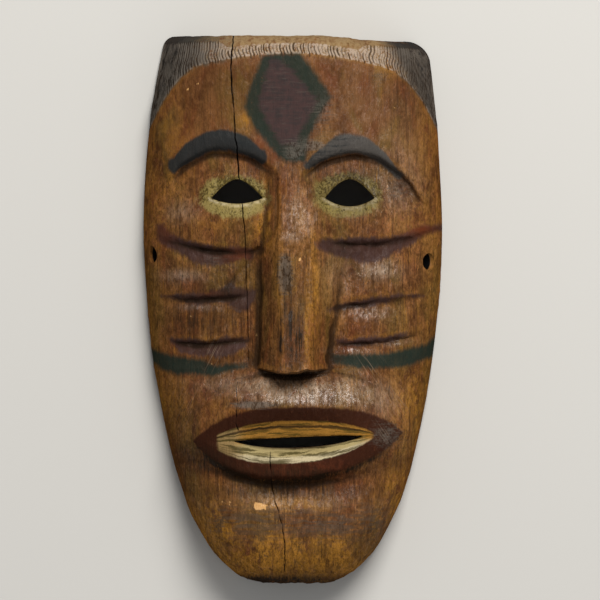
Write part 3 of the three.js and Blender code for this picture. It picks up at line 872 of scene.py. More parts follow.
def cutWith(obj, cutters):
    # Each cutter is taken out of the mesh in turn, and the result becomes the object's own mesh
    for cutter in cutters:
        cut = obj.modifiers.new("cut", "BOOLEAN")
        cut.operation = "DIFFERENCE"
        cut.solver = "MANIFOLD"
        cut.object = cutter
    finished = bpy.data.meshes.new_from_object(obj.evaluated_get(bpy.context.evaluated_depsgraph_get()))
    obj.modifiers.clear()
    obj.data = finished
    for cutter in cutters:
        bpy.data.objects.remove(cutter)


print("carving the mask")
mask = placed("carved_mask", *frontDome())
cutWith(mask, [
    placed("hollow", *hollowDome()),
    *[placed("eye", *eyeCutter(e)) for e in eyes],
    placed("mouth", *mouthCutter()),
    *[placed("tie_hole", *tieHoleCutter(h)) for h in tieHoles],
])
mask.data.name = "carved_mask"
mask.data.shade_smooth()
mask.data.set_sharp_from_angle(angle=math.radians(meshing["sharpFrom"]))
mask.data.calc_loop_triangles()
print("carved mask:", len(mask.data.vertices), "points,", len(mask.data.loop_triangles), "triangles")


# Painted areas, as signed distances in millimetres that are more than 0 inside
diamond = dict(
    border=[(-16.5, 138.5), (3.9, 139.7), (8.8, 133.7), (21.2, 116), (13.8, 102.9), (8.8, 93), (6.6, 80.3),
            (-5.5, 80.3), (-13.8, 90.2), (-22.6, 101.2), (-27, 110.6), (-20.4, 128.7)],
    field=[(-12.1, 137.5), (-1.1, 131.5), (13.8, 113.3), (5, 97.4), (1.1, 89.1), (-6.6, 89.7), (-13.2, 99.6),
           (-19.3, 112.2), (-14.9, 128.2)],
)
bands = [
    [(-86, -19.5), (-76.6, -22.1), (-70.3, -24.3), (-64, -25.9), (-49.4, -27.8), (-41.9, -31), (-36.8, -29.7),
     (-24.2, -29.7), (-24.2, -32.2), (-31.8, -32.9), (-44.4, -36.6), (-55.8, -35.4), (-62.7, -36),
     (-70.3, -34.1), (-76, -30.3), (-86, -27)],
    [(20.2, -24.6), (33.5, -24.6), (52.5, -24), (60.7, -22.1), (67.6, -20.9), (73.3, -19), (77.1, -15.8),
     (86, -10), (86, -22.5), (77, -26.5), (71.4, -28.4), (63.8, -31), (55, -32.2), (36.7, -32.5),
     (29.1, -31), (22.8, -29.7), (20.2, -27.2)],
]
browPaint = [
    dict(x=-38, y=91.4, bendIn=0.0205, bendOut=0.0163, start=-65, end=-18, half=5.9, least=0.7, fullest=-50),
    dict(x=31, y=90.9, bendIn=0.0245, bendOut=0.0262, start=9, end=57, half=5.4, least=0.45, fullest=30),
]
stripes = [
    [(-75.3, 46.7), (-70.9, 47.3), (-67.1, 41.3), (-60.8, 38.8), (-54.5, 36.6), (-46.9, 35.3), (-41.9, 33.8),
     (-29.9, 34.1), (-24.8, 33.8), (-21, 31.6), (-22.9, 27.1), (-26.7, 27.8), (-31.8, 25.6), (-36.2, 24.3),
     (-44.4, 23.7), (-52.6, 24.6), (-58.3, 28.4), (-64.6, 31.9), (-70.3, 34.7), (-74.4, 37.6)],
    [(-72.8, 7.2), (-64, 8.2), (-54.5, 9.1), (-46.9, 9.5), (-39.3, 11.3), (-34.3, 13.9), (-29.2, 12),
     (-19.8, 10.7), (-20.4, 5), (-24.8, -0.7), (-29.9, -1.3), (-33.7, 1.9), (-39.3, 4.1), (-45.7, 3.5),
     (-52.6, 1.9), (-58.9, 3.8), (-65.2, 5.7)],
    [(-67.7, -16.1), (-58.9, -15.8), (-44.4, -17.7), (-39.3, -15.2), (-24.2, -15.8), (-25.4, -20.2),
     (-31.8, -24.6), (-38.7, -26.5), (-51.3, -25.9), (-60.8, -24), (-65.9, -20.2)],
    [(12, 36), (17.7, 37.9), (31, 38.8), (41.7, 39.4), (52.5, 39.5), (58.8, 41.7), (65.1, 43.5), (71.4, 46.1),
     (77.7, 46.1), (85, 47.5), (85, 43.5), (76.5, 42), (72.7, 41.3), (68.2, 37.9), (63.8, 34.7), (58.8, 32.2),
     (52.5, 29), (44.9, 25.2), (37.3, 25.2), (31.6, 27.1), (22.1, 28.7), (17.1, 31.2), (13.3, 33.4)],
    [(19, 0.6), (27.2, 3.1), (33.5, 4.4), (41.1, 6.6), (46.1, 7.2), (52.5, 7.2), (57.5, 8.8), (72, 7.6),
     (72, 6.6), (58.1, 6.3), (52.5, 3.8), (46.1, 1.9), (39.8, 0.9), (33.5, 0.6), (27.2, -0.7), (19.6, -1.3)],
    [(22.8, -15.8), (33.5, -16.4), (39.8, -14.9), (48.7, -15.2), (57.5, -13.3), (62, -12.6), (62, -15),
     (55, -17.5), (45, -19), (36, -20.5), (24, -19.5)],
]
strokeArch = (2, 0.7)
hairPaint = dict(
    leftEdge=-41, leftSoft=0.14, rightEdge=62, rightSlant=0.48, slantFrom=125, rightSoft=0.4, over=1,
)
eyeRings = [dict(x=-31.9, y=61.0, half=19.6, high=11.6), dict(x=29.7, y=62.4, half=18.8, high=12.2)]


def insidePolygon(x, y, corners):
    # The distance to the nearest side, with its sign from how often a line to the right crosses the sides
    nearest = np.full(x.shape, 1e9)
    inside = np.zeros(x.shape, bool)
    for (ax, ay), (bx, by) in zip(corners, corners[1:] + corners[:1]):
        length = (bx - ax) ** 2 + (by - ay) ** 2
        t = np.clip(((x - ax) * (bx - ax) + (y - ay) * (by - ay)) / length, 0, 1)
        nearest = np.minimum(nearest, np.hypot(x - ax - t * (bx - ax), y - ay - t * (by - ay)))
        if ay != by:
            inside ^= ((ay > y) != (by > y)) & (x < (bx - ax) * (y - ay) / (by - ay) + ax)
    return np.where(inside, nearest, -nearest)


def insideStroke(x, y, middle, half, start, end):
    # A brush stroke: half its thickness less the distance from its middle line, with round ends
    return half - np.hypot(y - middle, np.maximum(0, np.maximum(start - x, x - end)))


def strokeSwell(x, s):
    # Thickness along a stroke, 1 where it is fullest and 0 at its ends
    before = (s["fullest"] - x) / (s["fullest"] - s["start"])
    after = (x - s["fullest"]) / (s["end"] - s["fullest"])
    t = np.where(x < s["fullest"], before, after)
    return archOver(np.clip(t, 0, 1), *strokeArch)


def browsAt(x, y):
    # Along each brow's middle line, a parabola that bends more on one side
    best = np.full(x.shape, -farOff)
    for b in browPaint:
        away = np.clip(x, b["start"], b["end"]) - b["x"]
        middle = b["y"] - np.where(away * b["x"] > 0, b["bendOut"], b["bendIn"]) * away**2
        half = b["half"] * mixed(b["least"], 1, strokeSwell(x, b))
        best = np.maximum(best, insideStroke(x, y, middle, half, b["start"], b["end"]))
    return best


def hairPaintAt(x, y):
    # Black on both temples, worn off in between, with a slanting edge on the right
    p = hairPaint
    left = (p["leftEdge"] - x) * p["leftSoft"]
    right = (x - p["rightEdge"] + p["rightSlant"] * (y - p["slantFrom"])) * p["rightSoft"]
    return np.minimum(y - hairlineAt(x) + p["over"], np.maximum(left, right))


def ringsAt(x, y):
    # Inside an ellipse round each eye
    best = np.full(x.shape, -farOff)
    for r in eyeRings:
        away = np.hypot((x - r["x"]) / r["half"], (y - r["y"]) / r["high"])
        best = np.maximum(best, (1 - away) * r["high"])
    return best


def patches(x, y, spots):
    # Soft spots added up: middle across and along, width, height, amount
    total = 0 * x
    for cx, cy, wide, high, amount in spots:
        total = total + amount * bell(x, cx, wide) * bell(y, cy, high)
    return total


tones = dict(
    amber=[  # worn down to golden wood, and a painted highlight along the nose's right edge and on its left flank
        (-64, 88, 9, 30, 0.4), (-25, 103, 4, 6, 0.9), (70, 88, 6, 34, 0.3), (52, 134, 8, 9, 0.6),
        (-72, 50, 6, 16, 0.5), (-17, 43, 7, 10, 0.8), (1, 0, 10, 36, 0.4), (-48, -8, 20, 16, 0.2),
        (-62, -52, 12, 18, 0.5), (62, -50, 12, 18, 1.0), (62, 50, 12, 11, 0.6), (-48, 47, 16, 6, 0.5),
        (-46, -120, 9, 22, 1.6), (-14, -129, 6, 7, 2.6), (24, -136, 8, 9, 2.4), (-37, -122, 5, 5, 1.8),
        (57, -104, 7, 20, 1.6), (-2, -139, 46, 8, 2.8), (-2, -106, 24, 4, 2.0), (-4, -127, 34, 4, 1.2),
        (7.2, -8, 0.8, 19, 1.6), (11.5, 6, 3, 32, 1.2), (-6, 14, 1.4, 24, 0.7), (24, 14, 7, 22, 0.6),
        (-36, -50, 14, 10, 0.5), (-15, 54, 4, 18, 1.2), (4, 52, 8, 13, 0.5),
    ],
    dark=[  # darker: painted shade in the crease under the lip, under the lower lip, beside the mouth's left corner, below the brows and along the chin's lower edge; elsewhere grime and darker wood
        (0, -99, 62, 4.5, 0.9), (-6.6, -16, 0.9, 14, 1.2), (1, -12, 8, 24, 0.7), (-50, -6, 22, 11, 0.9),
        (-47, 11, 20, 4, 0.5), (-34, 18, 11, 12, 0.6), (-18, 77, 9, 6, 0.5), (3, 76, 14, 8, 0.4),
        (36, 75, 16, 5, 0.4), (38, -127, 7, 10, 0.5), (-24, -126, 5, 9, 0.3), (-4.3, 19.5, 3.4, 11, 0.7),
        (-34, -28, 14, 4, 0.6), (-50, -82, 19, 9, 0.8), (-10, -88, 30, 4, 0.4), (-64, -72, 8, 20, 0.4),
        (66, 122, 12, 20, 0.5), (31, 62, 19, 12, 0.8), (-36, 122, 20, 16, 0.35), (40, 120, 22, 18, 0.25),
        (56, -84, 10, 6, 0.5), (-30, -62, 26, 7, 0.2), (-1, -8, 0.8, 24, 1.0), (4.4, -14, 0.9, 20, 1.1),
        (1.6, -20, 0.7, 12, 0.9), (-3, -150, 46, 4, 2.0), (5, -89, 36, 3, 0.6), (16, -132, 7, 5, 0.5),
        (-4, -10, 3, 22, 0.5),
    ],
    hazeAndHighlight=[  # rubbed to a pale film, with painted highlights on the nose's bridge, the muzzle above the upper lip and the facets below the cheek cuts
        (48, 108, 36, 26, 0.15), (4, 52, 8, 12, 0.5), (-1.6, 38.7, 5, 2.5, 0.7), (9, -44, 32, 7, 1.6),
        (-34, -42, 18, 5, 0.9), (-62, 18, 14, 3.5, 0.9), (-62, 53, 11, 6, 0.6), (46, 21, 12, 5, 1.2),
        (42, -2.3, 13, 3.5, 0.6), (30, -22.6, 12, 1.3, 0.7), (58, -18, 12, 1.8, 0.6), (-52, 1, 11, 1.8, 0.8),
        (0, -106, 40, 5, 0.35), (60, 68, 18, 22, 0.4), (5, -45.5, 15, 4, 2.0), (48, -52, 12, 8, 0.6),
        (24, 20, 8, 16, 0.5), (61, 63, 8, 8, 0.7), (-20, -41, 10, 4, 0.7),
    ],
    smear=[  # grey paint dragged over
        (0, 84, 6, 4, 0.7), (13, 89, 6, 2.5, 0.6), (47, 128, 5, 7, 0.5), (58, 66, 9, 9, 0.6),
        (34, 51, 11, 3, 0.45), (-21, -52, 13, 2.2, 1.4), (51, -69, 12, 9, 0.65), (-43, 27, 8, 4, 0.5),
        (16, 109, 8, 15, 0.6), (3, 90, 11, 6, 0.6), (-4.3, 19.5, 3.8, 10.5, 1.6), (22, -119, 22, 9, 0.4),
    ],
    scratches=[  # crossed by thin pale lines
        (-44, -22, 5, 11, 1.0), (-60, -53, 9, 10, 0.8), (42, -34, 6, 10, 1.0), (56, -51, 7, 11, 0.9),
        (48, -68, 6, 6, 0.5),
    ],
    crimson=[  # brighter red in the stripes and on the lower lip
        (70, 43.5, 9, 4, 1), (-70, 42, 7, 6, 0.5), (-29, 29, 10, 5, 0.7), (-45, 9, 6, 2, 0.5),
        (10, -88, 32, 5, 0.8),
    ],
    chips=[  # knocked down to fresh wood
        (-18, -107.5, 4, 2, 1.1), (-35, -105, 5, 1.6, 0.55), (3.9, 27, 1, 1.4, 0.9),
        *[(x, y, 0.7, 0.7, 0.9) for x, y in (
            (-55, 125.4), (-51.7, 123.2), (-57.2, 119.9), (55.6, 110.6),
            (-55.8, -3.9), (-44, -30.3), (-19.8, -14.3),
        )],
    ],
)
darkLines = dict(
    lipUp=0.3, lipWide=1.3, lipEnds=(6, 1), muzzleEnds=(12, 20, 34, 50), muzzleDown=1.5, muzzleWide=0.9,
    onFolds=0.5, onMuzzle=0.8, onLip=1.6,
)
cavityShape = dict(
    around=[(3.5, 0), (-3.5, 0), (0, 3.5), (0, -3.5), (2.4, 2.4), (-2.4, 2.4), (2.4, -2.4), (-2.4, -2.4)],
    outline=(2, 10),
)
boreShade = dict(mouth=0.5, mouthSoft=2.5, hollow=2, hollowSoft=2, slack=0.3)
# How far the other painted areas reach, and how softly they end
areas = dict(
    behind=2, behindSoft=4, behindHalf=0.93, rim=(12, 44), rimAmber=0.4, hairFoot=20, hairSoft=3,
    leastLip=0.8, bandHeight=4, mouthEnds=(-41, 43), mouthEndSoft=0.5, lowerLip=(-0.5, 1.5), lowerLipDown=1,
    lowerLipEnds=(-36, -24, 34, 48), chinBand=(-116, 10), chinBandEnds=(42, 56), lidDown=1, lidSoft=3,
    lidEdge=(0.9, 0.7), acrossUnit=10, boreEdge=0.5, smooth=(70, 95), roughRight=(0.5, 38, 60), most=6,
)


def underLip(x, y):
    # A dark line along the foot of the lower lip, painted shade where the lip meets the crease
    line = bell(y, curveBelow(outerLip, x) + darkLines["lipUp"], darkLines["lipWide"])
    return line * archOver(mouthSpan(outerLip, x), *darkLines["lipEnds"])


def muzzleLine(x, y):
    # A thin line along the top of the muzzle on both sides of the nose
    line = bell(y, curveAbove(muzzle, x) - darkLines["muzzleDown"], darkLines["muzzleWide"])
    return within(np.abs(x - nose["x"]), *darkLines["muzzleEnds"]) * line


def cavityAt(x, y):
    # How far the carved face stands above the mean of the places around it, in millimetres
    around = 0
    places, outline = cavityShape["around"], cavityShape["outline"]
    for dx, dy in places:
        around = around + faceHeight(x + dx, y + dy) / len(places)
    above = (faceHeight(x, y) - around) * ease(*outline, halfWidth(y, x) - np.abs(x))
    return above * ease(*outline, halfLength - np.abs(y))


def boredAt(x, y, z):
    # 1 down the bore of a tie hole, 0 at its mouth outside and where it comes out in the hollow; the bore is
    # painted near-black there as shade
    best = 0
    s = boreShade
    outside = halfWidth(y, x) * archOver(z / block["depth"], 2, 1 / block["faceRound"])
    ceiling = hollowDepth(x / np.maximum(1, halfWidth(y, x) - block["rimWidth"]), y / halfLength)
    deep = np.clip((outside - np.abs(x) - s["mouth"]) / s["mouthSoft"], 0, 1)
    deep = deep * np.clip((z - ceiling - s["hollow"]) / s["hollowSoft"], 0, 1)
    for hole in tieHoles:
        inside = np.hypot(y - hole["y"], z - hole["z"]) < tieBore["radius"] + s["slack"]
        best = np.maximum(best, (x * hole["side"] > 0) * inside * deep)
    return best


def fromCracks(x, y):
    # The distance outside the nearest open crack
    def outside(c):
        half = crackWidth(c, y)
        return np.abs(x - crackPlace(c, y)) - half + farOff * (half < crackShape["leastHalf"])
    return np.min([outside(c) for c in cracks], 0)


def paintAttributes(mesh):
    # Each point of the mesh keeps its distances and tones, which the finish turns into colour
    where = np.empty(len(mesh.vertices) * 3, np.float32)
    mesh.vertices.foreach_get("co", where)
    x, y, z = where.reshape(-1, 3).T.astype(float) / mm
    y = y + topDrop(x, y)
    a = areas
    behind = np.clip((faceHeight(x, y) - z - a["behind"]) / a["behindSoft"], 0, 1)
    behind = behind * (np.abs(x) < a["behindHalf"] * halfWidth(y, x))
    wx, wy = wandered(x, y)
    strokes = hairStrokes(x, y)
    rim = 1 - ease(*a["rim"], z)
    aboveMiddle = wy - mouthMiddle(wx)
    lipAt = lambda curve: np.maximum(a["leastLip"], np.abs(curve(innerLip, wx) - mouthMiddle(wx)))
    bandHalf = np.where(aboveMiddle > 0, lipAt(curveAbove), lipAt(curveBelow))
    left, right = a["mouthEnds"]
    mouthEnds = a["mouthEndSoft"] * np.minimum(wx - left, right - wx)
    belowMiddle = ease(*a["lowerLip"], mouthMiddle(x) - a["lowerLipDown"] - y)
    lowerLip = a["lowerLipEnds"]
    bumpy, bumpyFrom, bumpyTo = a["roughRight"]
    # Darker places: grime and darker wood, and painted shade in the crease, under the lower lip, below the
    # brows and along the chin's lower edge
    dark = patches(x, y, tones["dark"]) + darkLines["onFolds"] * foldsAt(x, y)
    dark = dark + darkLines["onMuzzle"] * muzzleLine(x, y) + darkLines["onLip"] * underLip(wx, wy)
    insideAny = lambda outlines: np.max([insidePolygon(x, y, corners) for corners in outlines], 0)
    values = dict(
        black=browsAt(wx, wy),
        hairBlack=hairPaintAt(x, y),
        hairBand=np.minimum(y - hairlineAt(x), (z - a["hairFoot"]) / a["hairSoft"]),
        strokes=strokes,
        hairRidge=hairStrokesReach(x, y) - strokes,
        green=insideAny([diamond["border"], *bands]),
        purple=insidePolygon(x, y, diamond["field"]),
        red=insideAny(stripes),
        lips=np.minimum(curveAbove(outerLip, wx) - wy, wy - curveBelow(outerLip, wx) - mouth["lipFoot"]),
        mouthBand=a["bandHeight"] * aboveMiddle / bandHalf,
        innerMouth=np.minimum(insideCurves(innerLip, wx, wy), mouthEnds),
        lowerLip=belowMiddle * ease(*lowerLip[:2], x) * (1 - ease(*lowerLip[2:], x)),
        chinBand=bell(y, *a["chinBand"]) * (1 - ease(*a["chinBandEnds"], np.abs(x - mouth["x"]))),
        yellow=ringsAt(x, y),
        lid=(eyes[0]["y"] - a["lidDown"] - y) / a["lidSoft"],
        lidEdge=np.max([bell(eyeGap(e, x, y), *a["lidEdge"]) * (y < e["y"]) for e in eyes], 0),
        across=x / a["acrossUnit"],
        # open cracks, and the tie holes' bores, which are painted near-black as shade
        crackAndBoreShade=np.minimum(fromCracks(x, y) + farOff * behind, a["boreEdge"] - boredAt(x, y, z)),
        cavity=cavityAt(x, y),
        behind=behind,
        smooth=ease(*a["smooth"], y) * (1 - bumpy * ease(bumpyFrom, bumpyTo, x)),
        rim=rim,
        # worn golden wood, and a painted highlight along the nose's right edge and left flank
        amber=patches(x, y, tones["amber"]) + a["rimAmber"] * rim,
        dark=dark,
        # a pale rubbed film, with painted highlights on the bridge, the muzzle and the facets below the cuts
        hazeAndHighlight=patches(x, y, tones["hazeAndHighlight"]) * (1 - rim),
        scratched=patches(x, y, tones["scratches"]),
        **{name: patches(x, y, tones[name]) for name in ("smear", "crimson", "chips")},
    )
    for name, value in values.items():
        layer = mesh.attributes.new(name, "FLOAT", "POINT")
        layer.data.foreach_set("value", np.clip(value, -a["most"], a["most"]).astype(np.float32))


paintAttributes(mask.data)
print("painted areas marked")


palette = dict(
    wood=(0.142, 0.060, 0.020, 1), woodDeep=(0.052, 0.020, 0.007, 1), rust=(0.110, 0.032, 0.012, 1),
    moss=(0.110, 0.068, 0.016, 1), amber=(0.29, 0.130, 0.018, 1), hazeAndHighlight=(0.235, 0.166, 0.112, 1),
    bare=(0.22, 0.145, 0.070, 1), pale=(0.32, 0.255, 0.205, 1), dark=(0.016, 0.009, 0.005, 1),
    black=(0.017, 0.020, 0.021, 1), slate=(0.056, 0.052, 0.048, 1), grey=(0.092, 0.080, 0.067, 1),
    green=(0.012, 0.021, 0.017, 1), purple=(0.048, 0.028, 0.027, 1), red=(0.036, 0.018, 0.015, 1),
    lip=(0.028, 0.009, 0.005, 1), crimson=(0.090, 0.022, 0.009, 1), plum=(0.060, 0.041, 0.028, 1),
    fresh=(0.52, 0.29, 0.11, 1), yellow=(0.200, 0.155, 0.050, 1), olive=(0.036, 0.028, 0.006, 1),
    ochre=(0.24, 0.115, 0.021, 1), tan=(0.215, 0.142, 0.058, 1), cream=(0.27, 0.215, 0.100, 1),
    creamEdge=(0.38, 0.32, 0.20, 1), inside=(0.17, 0.098, 0.048, 1), crackAndBoreShade=(0.002, 0.002, 0.002, 1),
)


# Shaders: a value that takes arithmetic, and a finish that adds nodes
class Value:
    # One socket. Arithmetic on it adds Math nodes.
    def __init__(self, finish, socket):
        self.finish = finish
        self.socket = socket

    def maths(self, operation, *terms):
        return self.finish.node("ShaderNodeMath", {"operation": operation}, dict(enumerate(terms)))

    def __add__(self, other):
        return self.maths("ADD", self, other)

    def __sub__(self, other):
        return self.maths("SUBTRACT", self, other)

    def __mul__(self, other):
        return self.maths("MULTIPLY", self, other)

    def __rsub__(self, other):
        return self.maths("SUBTRACT", other, self)

    __radd__ = __add__
    __rmul__ = __mul__


class Finish:
    # A material's node tree. Every node comes from one method: type, settings first, then its sockets.
    def __init__(self, name):
        self.material = bpy.data.materials.new(name)
        self.material.use_nodes = True
        self.tree = self.material.node_tree
        self.tree.nodes.clear()

    def node(self, kind, settings, inputs, output=0):
        made = self.tree.nodes.new(kind)
        for name, value in settings.items():
            setattr(made, name, value)
        for name, value in inputs.items():
            if isinstance(value, Value):
                self.tree.links.new(value.socket, made.inputs[name])
            else:
                made.inputs[name].default_value = value
        return Value(self, made.outputs[output]) if made.outputs else None

    def attribute(self, name):
        settings = {"attribute_name": name, "attribute_type": "GEOMETRY"}
        return self.node("ShaderNodeAttribute", settings, {}, "Fac")

    def between(self, value, low, high):
        # 0 at low, 1 at high, eased between
        settings = {"interpolation_type": "SMOOTHSTEP"}
        return self.node("ShaderNodeMapRange", settings, {"Value": value, "From Min": low, "From Max": high})

    def noise(self, size, detail, rough, shift=0):
        # Noise from 0 to 1 whose cells measure size millimetres along X, Y and Z
        place = self.node("ShaderNodeTexCoord", {}, {}, "Object")
        return self.noiseOver(place, [s * mm for s in size], detail, rough, shift)

    def noiseOver(self, place, size, detail, rough, shift=0):
        mapping = {"Vector": place, "Scale": [1 / s for s in size], "Location": (shift, 0, 0)}
        moved = self.node("ShaderNodeMapping", {}, mapping)
        inputs = {"Vector": moved, "Scale": 1.0, "Detail": detail, "Roughness": rough, "Distortion": 0.5}
        return self.node("ShaderNodeTexNoise", {}, inputs, "Fac")

    def scratchLines(self, turn, shift):
        # Noise in thin lines down the mask, turned by an angle
        place = self.node("ShaderNodeTexCoord", {}, {}, "Object")
        turned = self.node("ShaderNodeMapping", {}, {"Vector": place, "Rotation": (0, 0, turn)})
        return self.noiseOver(turned, [0.5 * mm, 26 * mm, 26 * mm], 2, 0.5, shift)

    def mixColour(self, share, under, over, blend="MIX"):
        # Two colours mixed by a share. Each is a name in the palette or was worked out before.
        under, over = [palette[c] if isinstance(c, str) else c for c in (under, over)]
        settings = {"data_type": "RGBA", "blend_type": blend, "clamp_factor": True}
        return self.node("ShaderNodeMix", settings, {0: share, 6: under, 7: over}, 2)

    def coats(self, colour, *layers):
        # Layers laid one after another, each a share and a colour
        for share, over in layers:
            colour = self.mixColour(share, colour, over)
        return colour

    def shader(self, colour, roughness, specular, **more):
        inputs = {"Base Color": colour, "Roughness": roughness, "Specular IOR Level": specular, **more}
        return self.node("ShaderNodeBsdfPrincipled", {}, inputs)

    def finished(self, surface):
        self.node("ShaderNodeOutputMaterial", {}, {"Surface": surface})
        return self.material


def woodFinish():
    f = Finish("aged painted wood")
    read, between = f.attribute, f.between
    fibre = f.noise((0.8, 18, 6), 4, 0.65, 7)
    grain = f.noise((2.6, 38, 14), 4, 0.62)
    blotch = f.noise((15, 26, 20), 4, 0.6, 3)
    tint = f.noise((22, 40, 24), 3, 0.6, 11)
    mottle = f.noise((3.4, 6, 5), 5, 0.68, 5)
    speck = f.noise((1.0, 1.2, 1.2), 2, 0.6, 9)
    brush = f.noise((9, 0.9, 4), 3, 0.6, 13)
    stroke = f.noise((13, 1.7, 5), 4, 0.65, 17)
    pores = f.noise((0.55, 1.7, 1.4), 3, 0.7, 21)
    fleck = f.noise((2.0, 3.4, 3.0), 4, 0.7, 23)
    cavity = read("cavity")

    # Bare wood: brown, redder and greener in places, amber where it is worn and as a painted highlight on the
    # nose's right edge and left flank, a grey film where it was rubbed, with painted highlights in it
    golden = between(mottle * 0.5 + fibre * 0.3 + fleck * 0.3 + blotch * 0.3, 0.60, 0.80)
    colour = f.mixColour(between(blotch * 0.6 + mottle * 0.4, 0.34, 0.62), "woodDeep", "wood")
    colour = f.coats(
        colour,
        (between(tint, 0.5, 0.64) * 0.6, "rust"),
        (between(1 - tint, 0.5, 0.64) * 0.5, "moss"),
        # worn golden wood, with a painted highlight along the nose's right edge and left flank
        (golden * read("amber"), "amber"),
        (between(blotch + mottle + fleck, 1.2, 1.9) * read("hazeAndHighlight") * 0.9, "hazeAndHighlight"),
        (between(cavity, 0.15, 1.1) * 0.2, "amber"),
    )
    flecked = 1 - read("smooth") * 0.65
    streaked = (1 - read("smooth") * 0.7) * between(blotch, 0.3, 0.55)
    chipped = between(read("chips") + (mottle - 0.5) + (fleck - 0.5) * 1.4, 0.4, 0.6)
    colour = f.mixColour(between(1 - fleck, 0.50, 0.66) * flecked * 0.5, colour, "wood", "ADD")
    colour = f.coats(
        colour,
        (between(fleck, 0.50, 0.66) * flecked * 0.6, "woodDeep"),
        (between(pores, 0.5, 0.68) * flecked * 0.6, "dark"),
        (between(grain, 0.50, 0.62) * streaked * 0.5, "woodDeep"),
        (between(fibre, 0.53, 0.68) * streaked * 0.65, "dark"),
        (between(1 - fibre, 0.54, 0.68) * streaked * 0.3, "amber"),
        (read("chinBand") * between(stroke, 0.42, 0.56) * 0.65, "plum"),
        (chipped * 0.9, "fresh"),
    )

    # The hair band: bare at its top, pale on the ridges of the strokes as a painted highlight, dark down
    # their grooves as painted shade, black on the temples
    hairBand = between(read("hairBand") + (mottle - 0.5) * 7, -2.6, 2.0)
    ridge = between(read("hairRidge"), 0.1, 0.5)
    hairCover = between(read("hairBlack") + (mottle - 0.5) * 6, -2.0, 2.4) * 0.92
    combed = f.mixColour(ridge * between(mottle, 0.3, 0.6) * 0.7, "black", "grey")
    colour = f.coats(
        colour,
        (hairBand * between(grain + mottle + fleck, 1.1, 1.7), "bare"),
        (ridge * between(mottle + speck, 0.8, 1.1) * 0.8, "pale"),
        (hairCover, combed),
        (between(read("strokes"), 0.15, 0.7) * 0.8, "dark"),
    )

    # Paint on the forehead, cheeks, brows and lips, then smears and scratches over it
    def cover(name, softness, ragged, wear):
        # Where a painted area lies: its distance with a ragged edge, less what has worn off
        edge = read(name) + (mottle - 0.5) * ragged + (fibre - 0.5) * (ragged * 0.3)
        lasting = between(speck * 0.4 + grain * 0.6, wear - 0.12, wear + 0.1)
        return between(edge, -softness, softness) * lasting

    green = cover("green", 1.8, 5, 0.31)
    purple = between(read("purple") + (stroke - 0.5) * 8 + (mottle - 0.5) * 5, -1.8, 1.8)
    field = f.mixColour(between(stroke * 0.5 + mottle * 0.5, 0.42, 0.62) * 0.5, "purple", "black")
    field = f.mixColour(between(brush, 0.55, 0.7) * 0.25, field, "grey")
    red = cover("red", 1.5, 6, 0.26)
    redTone = f.mixColour(between(mottle, 0.42, 0.62) * 0.7, "red", "purple")
    redTone = f.mixColour(read("crimson"), redTone, "crimson")
    brow = cover("black", 1.1, 3, 0.22)
    greyed = between(read("across") + (fleck - 0.5) * 6 + (stroke - 0.5) * 8, 0.4, 3.4)
    browTone = f.mixColour(greyed * 0.85, "black", "slate")
    lips = cover("lips", 1.0, 3.5, 0.3)
    lipTone = f.mixColour(between(mottle, 0.40, 0.60) * read("crimson"), "lip", "crimson")
    lipTone = f.mixColour(between(mottle, 0.60, 0.70) * 0.4, lipTone, "rust")
    smeared = between(read("smear") + (brush - 0.5) * 1.2 + (fleck - 0.5), 0.2, 0.9)
    crusty = f.mixColour(between(fleck * 0.6 + pores * 0.4, 0.47, 0.58) * 0.85, "grey", "dark")
    onRight = between(read("across"), -0.1, 0.1)
    scored = f.scratchLines(0.47, 27) * (1 - onRight) + f.scratchLines(-0.6, 31) * onRight
    colour = f.coats(
        colour,
        (green * 0.93, "green"),
        (purple * 0.93, field),
        (red * 0.92, redTone),
        (brow * 0.96, browTone),
        (lips * 0.96, lipTone),
        (smeared * 0.75, crusty),
        (between(scored, 0.56, 0.66) * read("scratched") * 0.5, "hazeAndHighlight"),
    )

    # Inside the lips: ochre above and cream below, paler along the lower lip's crest as a painted highlight,
    # with dark lines that run together at the corners.
    # Round the eyes: dotted yellow rings, and pale lower lids, a painted highlight on their edges.
    mouthBand = read("mouthBand") + (mottle - 0.5) * 0.8
    alongLips = f.node("ShaderNodeCombineXYZ", {}, {"X": read("across"), "Y": mouthBand})
    lines = between(f.noiseOver(alongLips, (2.4, 0.7, 1), 3, 0.6), 0.45, 0.60)
    seam = between(mouthBand, 2.2, 2.6) * (1 - between(mouthBand, 2.8, 3.3))
    upperLip = f.mixColour(between(0 - read("across"), 2.4, 3.4), "ochre", "tan")
    lowerLip = f.mixColour(between(0 - mouthBand, 2.6, 3.2), "cream", "creamEdge")
    inner = f.coats(upperLip, (read("lowerLip"), lowerLip), (lines * 0.85, "olive"), (seam * 0.85, "dark"))
    ring = between(read("yellow") + (mottle - 0.5) * 7, -1.6, 1.6)
    lid = between(read("lid"), -1, 1.2) * 0.08
    dots = f.mixColour(between(speck * 0.5 + mottle * 0.5 + lid, 0.42, 0.62), "olive", "yellow")
    colour = f.coats(
        colour,
        (between(read("innerMouth") + (mottle - 0.5) * 1.6, -0.7, 0.5), inner),
        (ring * 0.9, dots),
        (read("lidEdge") * between(mottle, 0.35, 0.5) * 0.8, "creamEdge"),
    )

